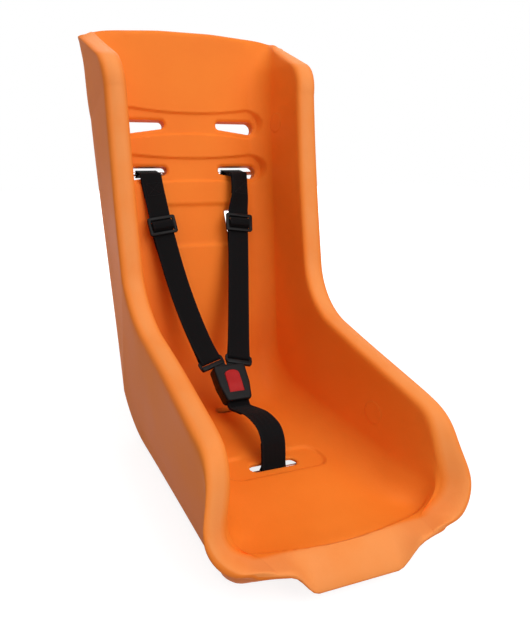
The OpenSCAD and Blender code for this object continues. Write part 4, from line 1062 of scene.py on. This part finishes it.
rings = [(dense(button_plan(m)), h) for m, h in
         ((1.6, flange_low), (1.6, flange_low + flange_t), (0, flange_low + flange_t))]
rings += [cap_ring(cos_d(a) - 1, cap_top - 1 + sin_d(a)) for a in (0, 20, 40, 60, 80, 90)]
centre, inner = np.array([0, button_up]), np.array(rings[-1][0])
for f in (0.85, 0.65, 0.4, 0.15):
    pts = [tuple(centre + (p - centre) * f) for p in inner]
    rings.append((pts, [cap_top - cap_dish * (1 - f) - fall(q) for p, q in pts]))
button = loft("button_cap", rings, fr)
post = prism("post", [(p, q + post_up) for p, q in rect(12, 4)], fr, latch_top + gap, flange_low + 0.5)
boolean(button, [post], "UNION")
soften(button.data, 42)
dress(button, M_RED, ["release_button"], "button")

# Return spring: a closed coil of round wire
spring_d, wire, turns, spring_up = 8.0, 0.6, 2.5, hole_up - 8
spring_low, spring_high = wall - rear_t + 0.15, latch_top - 1.6 - 0.15
V = []
coil_n, wire_n = 160, 10
for i in range(coil_n + 1):
    a = 2 * math.pi * turns * i / coil_n
    h = spring_low + wire / 2 + (spring_high - spring_low - wire) * i / coil_n
    for b in range(wire_n):
        w = 2 * math.pi * b / wire_n
        r = (spring_d - wire) / 2 + wire / 2 * math.cos(w)
        V.append(buckle_point(math.cos(a) * r, spring_up + math.sin(a) * r, h + wire / 2 * math.sin(w)) * MM)
spring = mesh_object("return_spring", V, ring_faces(coil_n + 1, wire_n) + end_faces(len(V), wire_n))
spring.data.materials.append(M_METAL)
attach(spring, "seat"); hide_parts("latch_spring")
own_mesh(spring)

# ------------------------ CAD nodes that stay
for name in ("left_anchor_rod", "right_anchor_rod", "latch_plate", "strap_pin", "crotch_anchor_rod"):
    for s in nodes[name].material_slots:
        s.material = M_METAL

# ------------------------ stage, light, camera
def seen_rays(nt):
    """1 for the rays that show the background: straight, off gloss or through glass."""
    path = node(nt, "ShaderNodeLightPath").outputs
    bent = math_node(nt, "MAXIMUM", path["Is Glossy Ray"], path["Is Transmission Ray"])
    return math_node(nt, "MAXIMUM", path["Is Camera Ray"], bent)


def stage(r):
    """White floor that holds the object's shadow and fades to the background with distance."""
    me = bpy.data.meshes.new("floor")
    me.from_pydata([(-r, -r, 0), (r, -r, 0), (r, r, 0), (-r, r, 0)], [], [(0, 1, 2, 3)])
    ob = link("floor", me)
    m, nt, b = new_material("floor_white", (0.34, 0.34, 0.34), 0.95, Specular_IOR_Level=0.0,
                            Emission_Color=(1, 1, 1, 1))
    far = node(nt, "ShaderNodeVectorMath", operation="LENGTH")
    nt.links.new(object_co(nt), far.inputs[0])
    glow = ramp(nt, far.outputs["Value"], 0.45, 3.0, 0.84, 1.6)
    nt.links.new(times(nt, seen_rays(nt), glow), b.inputs["Emission Strength"])
    me.materials.append(m)


stage(6.0)
world = bpy.data.worlds.new("studio"); bpy.context.scene.world = world
world.use_nodes = True
wn = world.node_tree
bg = wn.nodes["Background"]
bg.inputs[0].default_value = (1, 1, 1, 1)
wn.links.new(ramp(wn, seen_rays(wn), 0, 1, 0.36, 1.0), bg.inputs[1])


def area(name, loc, target, size, power):
    li = bpy.data.lights.new(name, "AREA")
    li.shape, li.size, li.energy = "DISK", size, power
    ob = link(name, li)
    ob.location = loc
    ob.rotation_euler = (Vector(target) - Vector(loc)).to_track_quat("-Z", "Y").to_euler()


area("key", (0.9, -1.75, 1.9), (0, 0, 0.25), 2.0, 29)
area("fill", (-1.6, -1.2, 1.2), (0, 0, 0.2), 1.4, 4)
area("front", (0.2, -2.3, 0.9), (0, 0, 0.3), 1.2, 7)
area("rear", (0.7, 2.2, 1.7), (0, 0, 0.25), 1.6, 11)
area("top", (-0.1, -0.3, 2.4), (0, 0, 0.2), 1.6, 13)

cam = bpy.data.cameras.new("camera")
cam.sensor_width, cam.lens = 36.0, 30.276
cam.shift_x, cam.shift_y = 0.1753, 0.0152
cam.clip_start, cam.clip_end = 0.01, 50
cam_ob = link("camera", cam)
az, el = -18.072, 17.063
back_dir = Vector((sin_d(az) * cos_d(el), -cos_d(az) * cos_d(el), sin_d(el)))
right = Vector((cos_d(az), sin_d(az), 0))
turn = Matrix((right, back_dir.cross(right), back_dir)).transposed()
cam_ob.matrix_world = Matrix.Translation((-0.284851, -0.527649, 0.368825)) @ turn.to_4x4()
bpy.context.scene.camera = cam_ob
bpy.context.scene.view_settings.view_transform = "Standard"
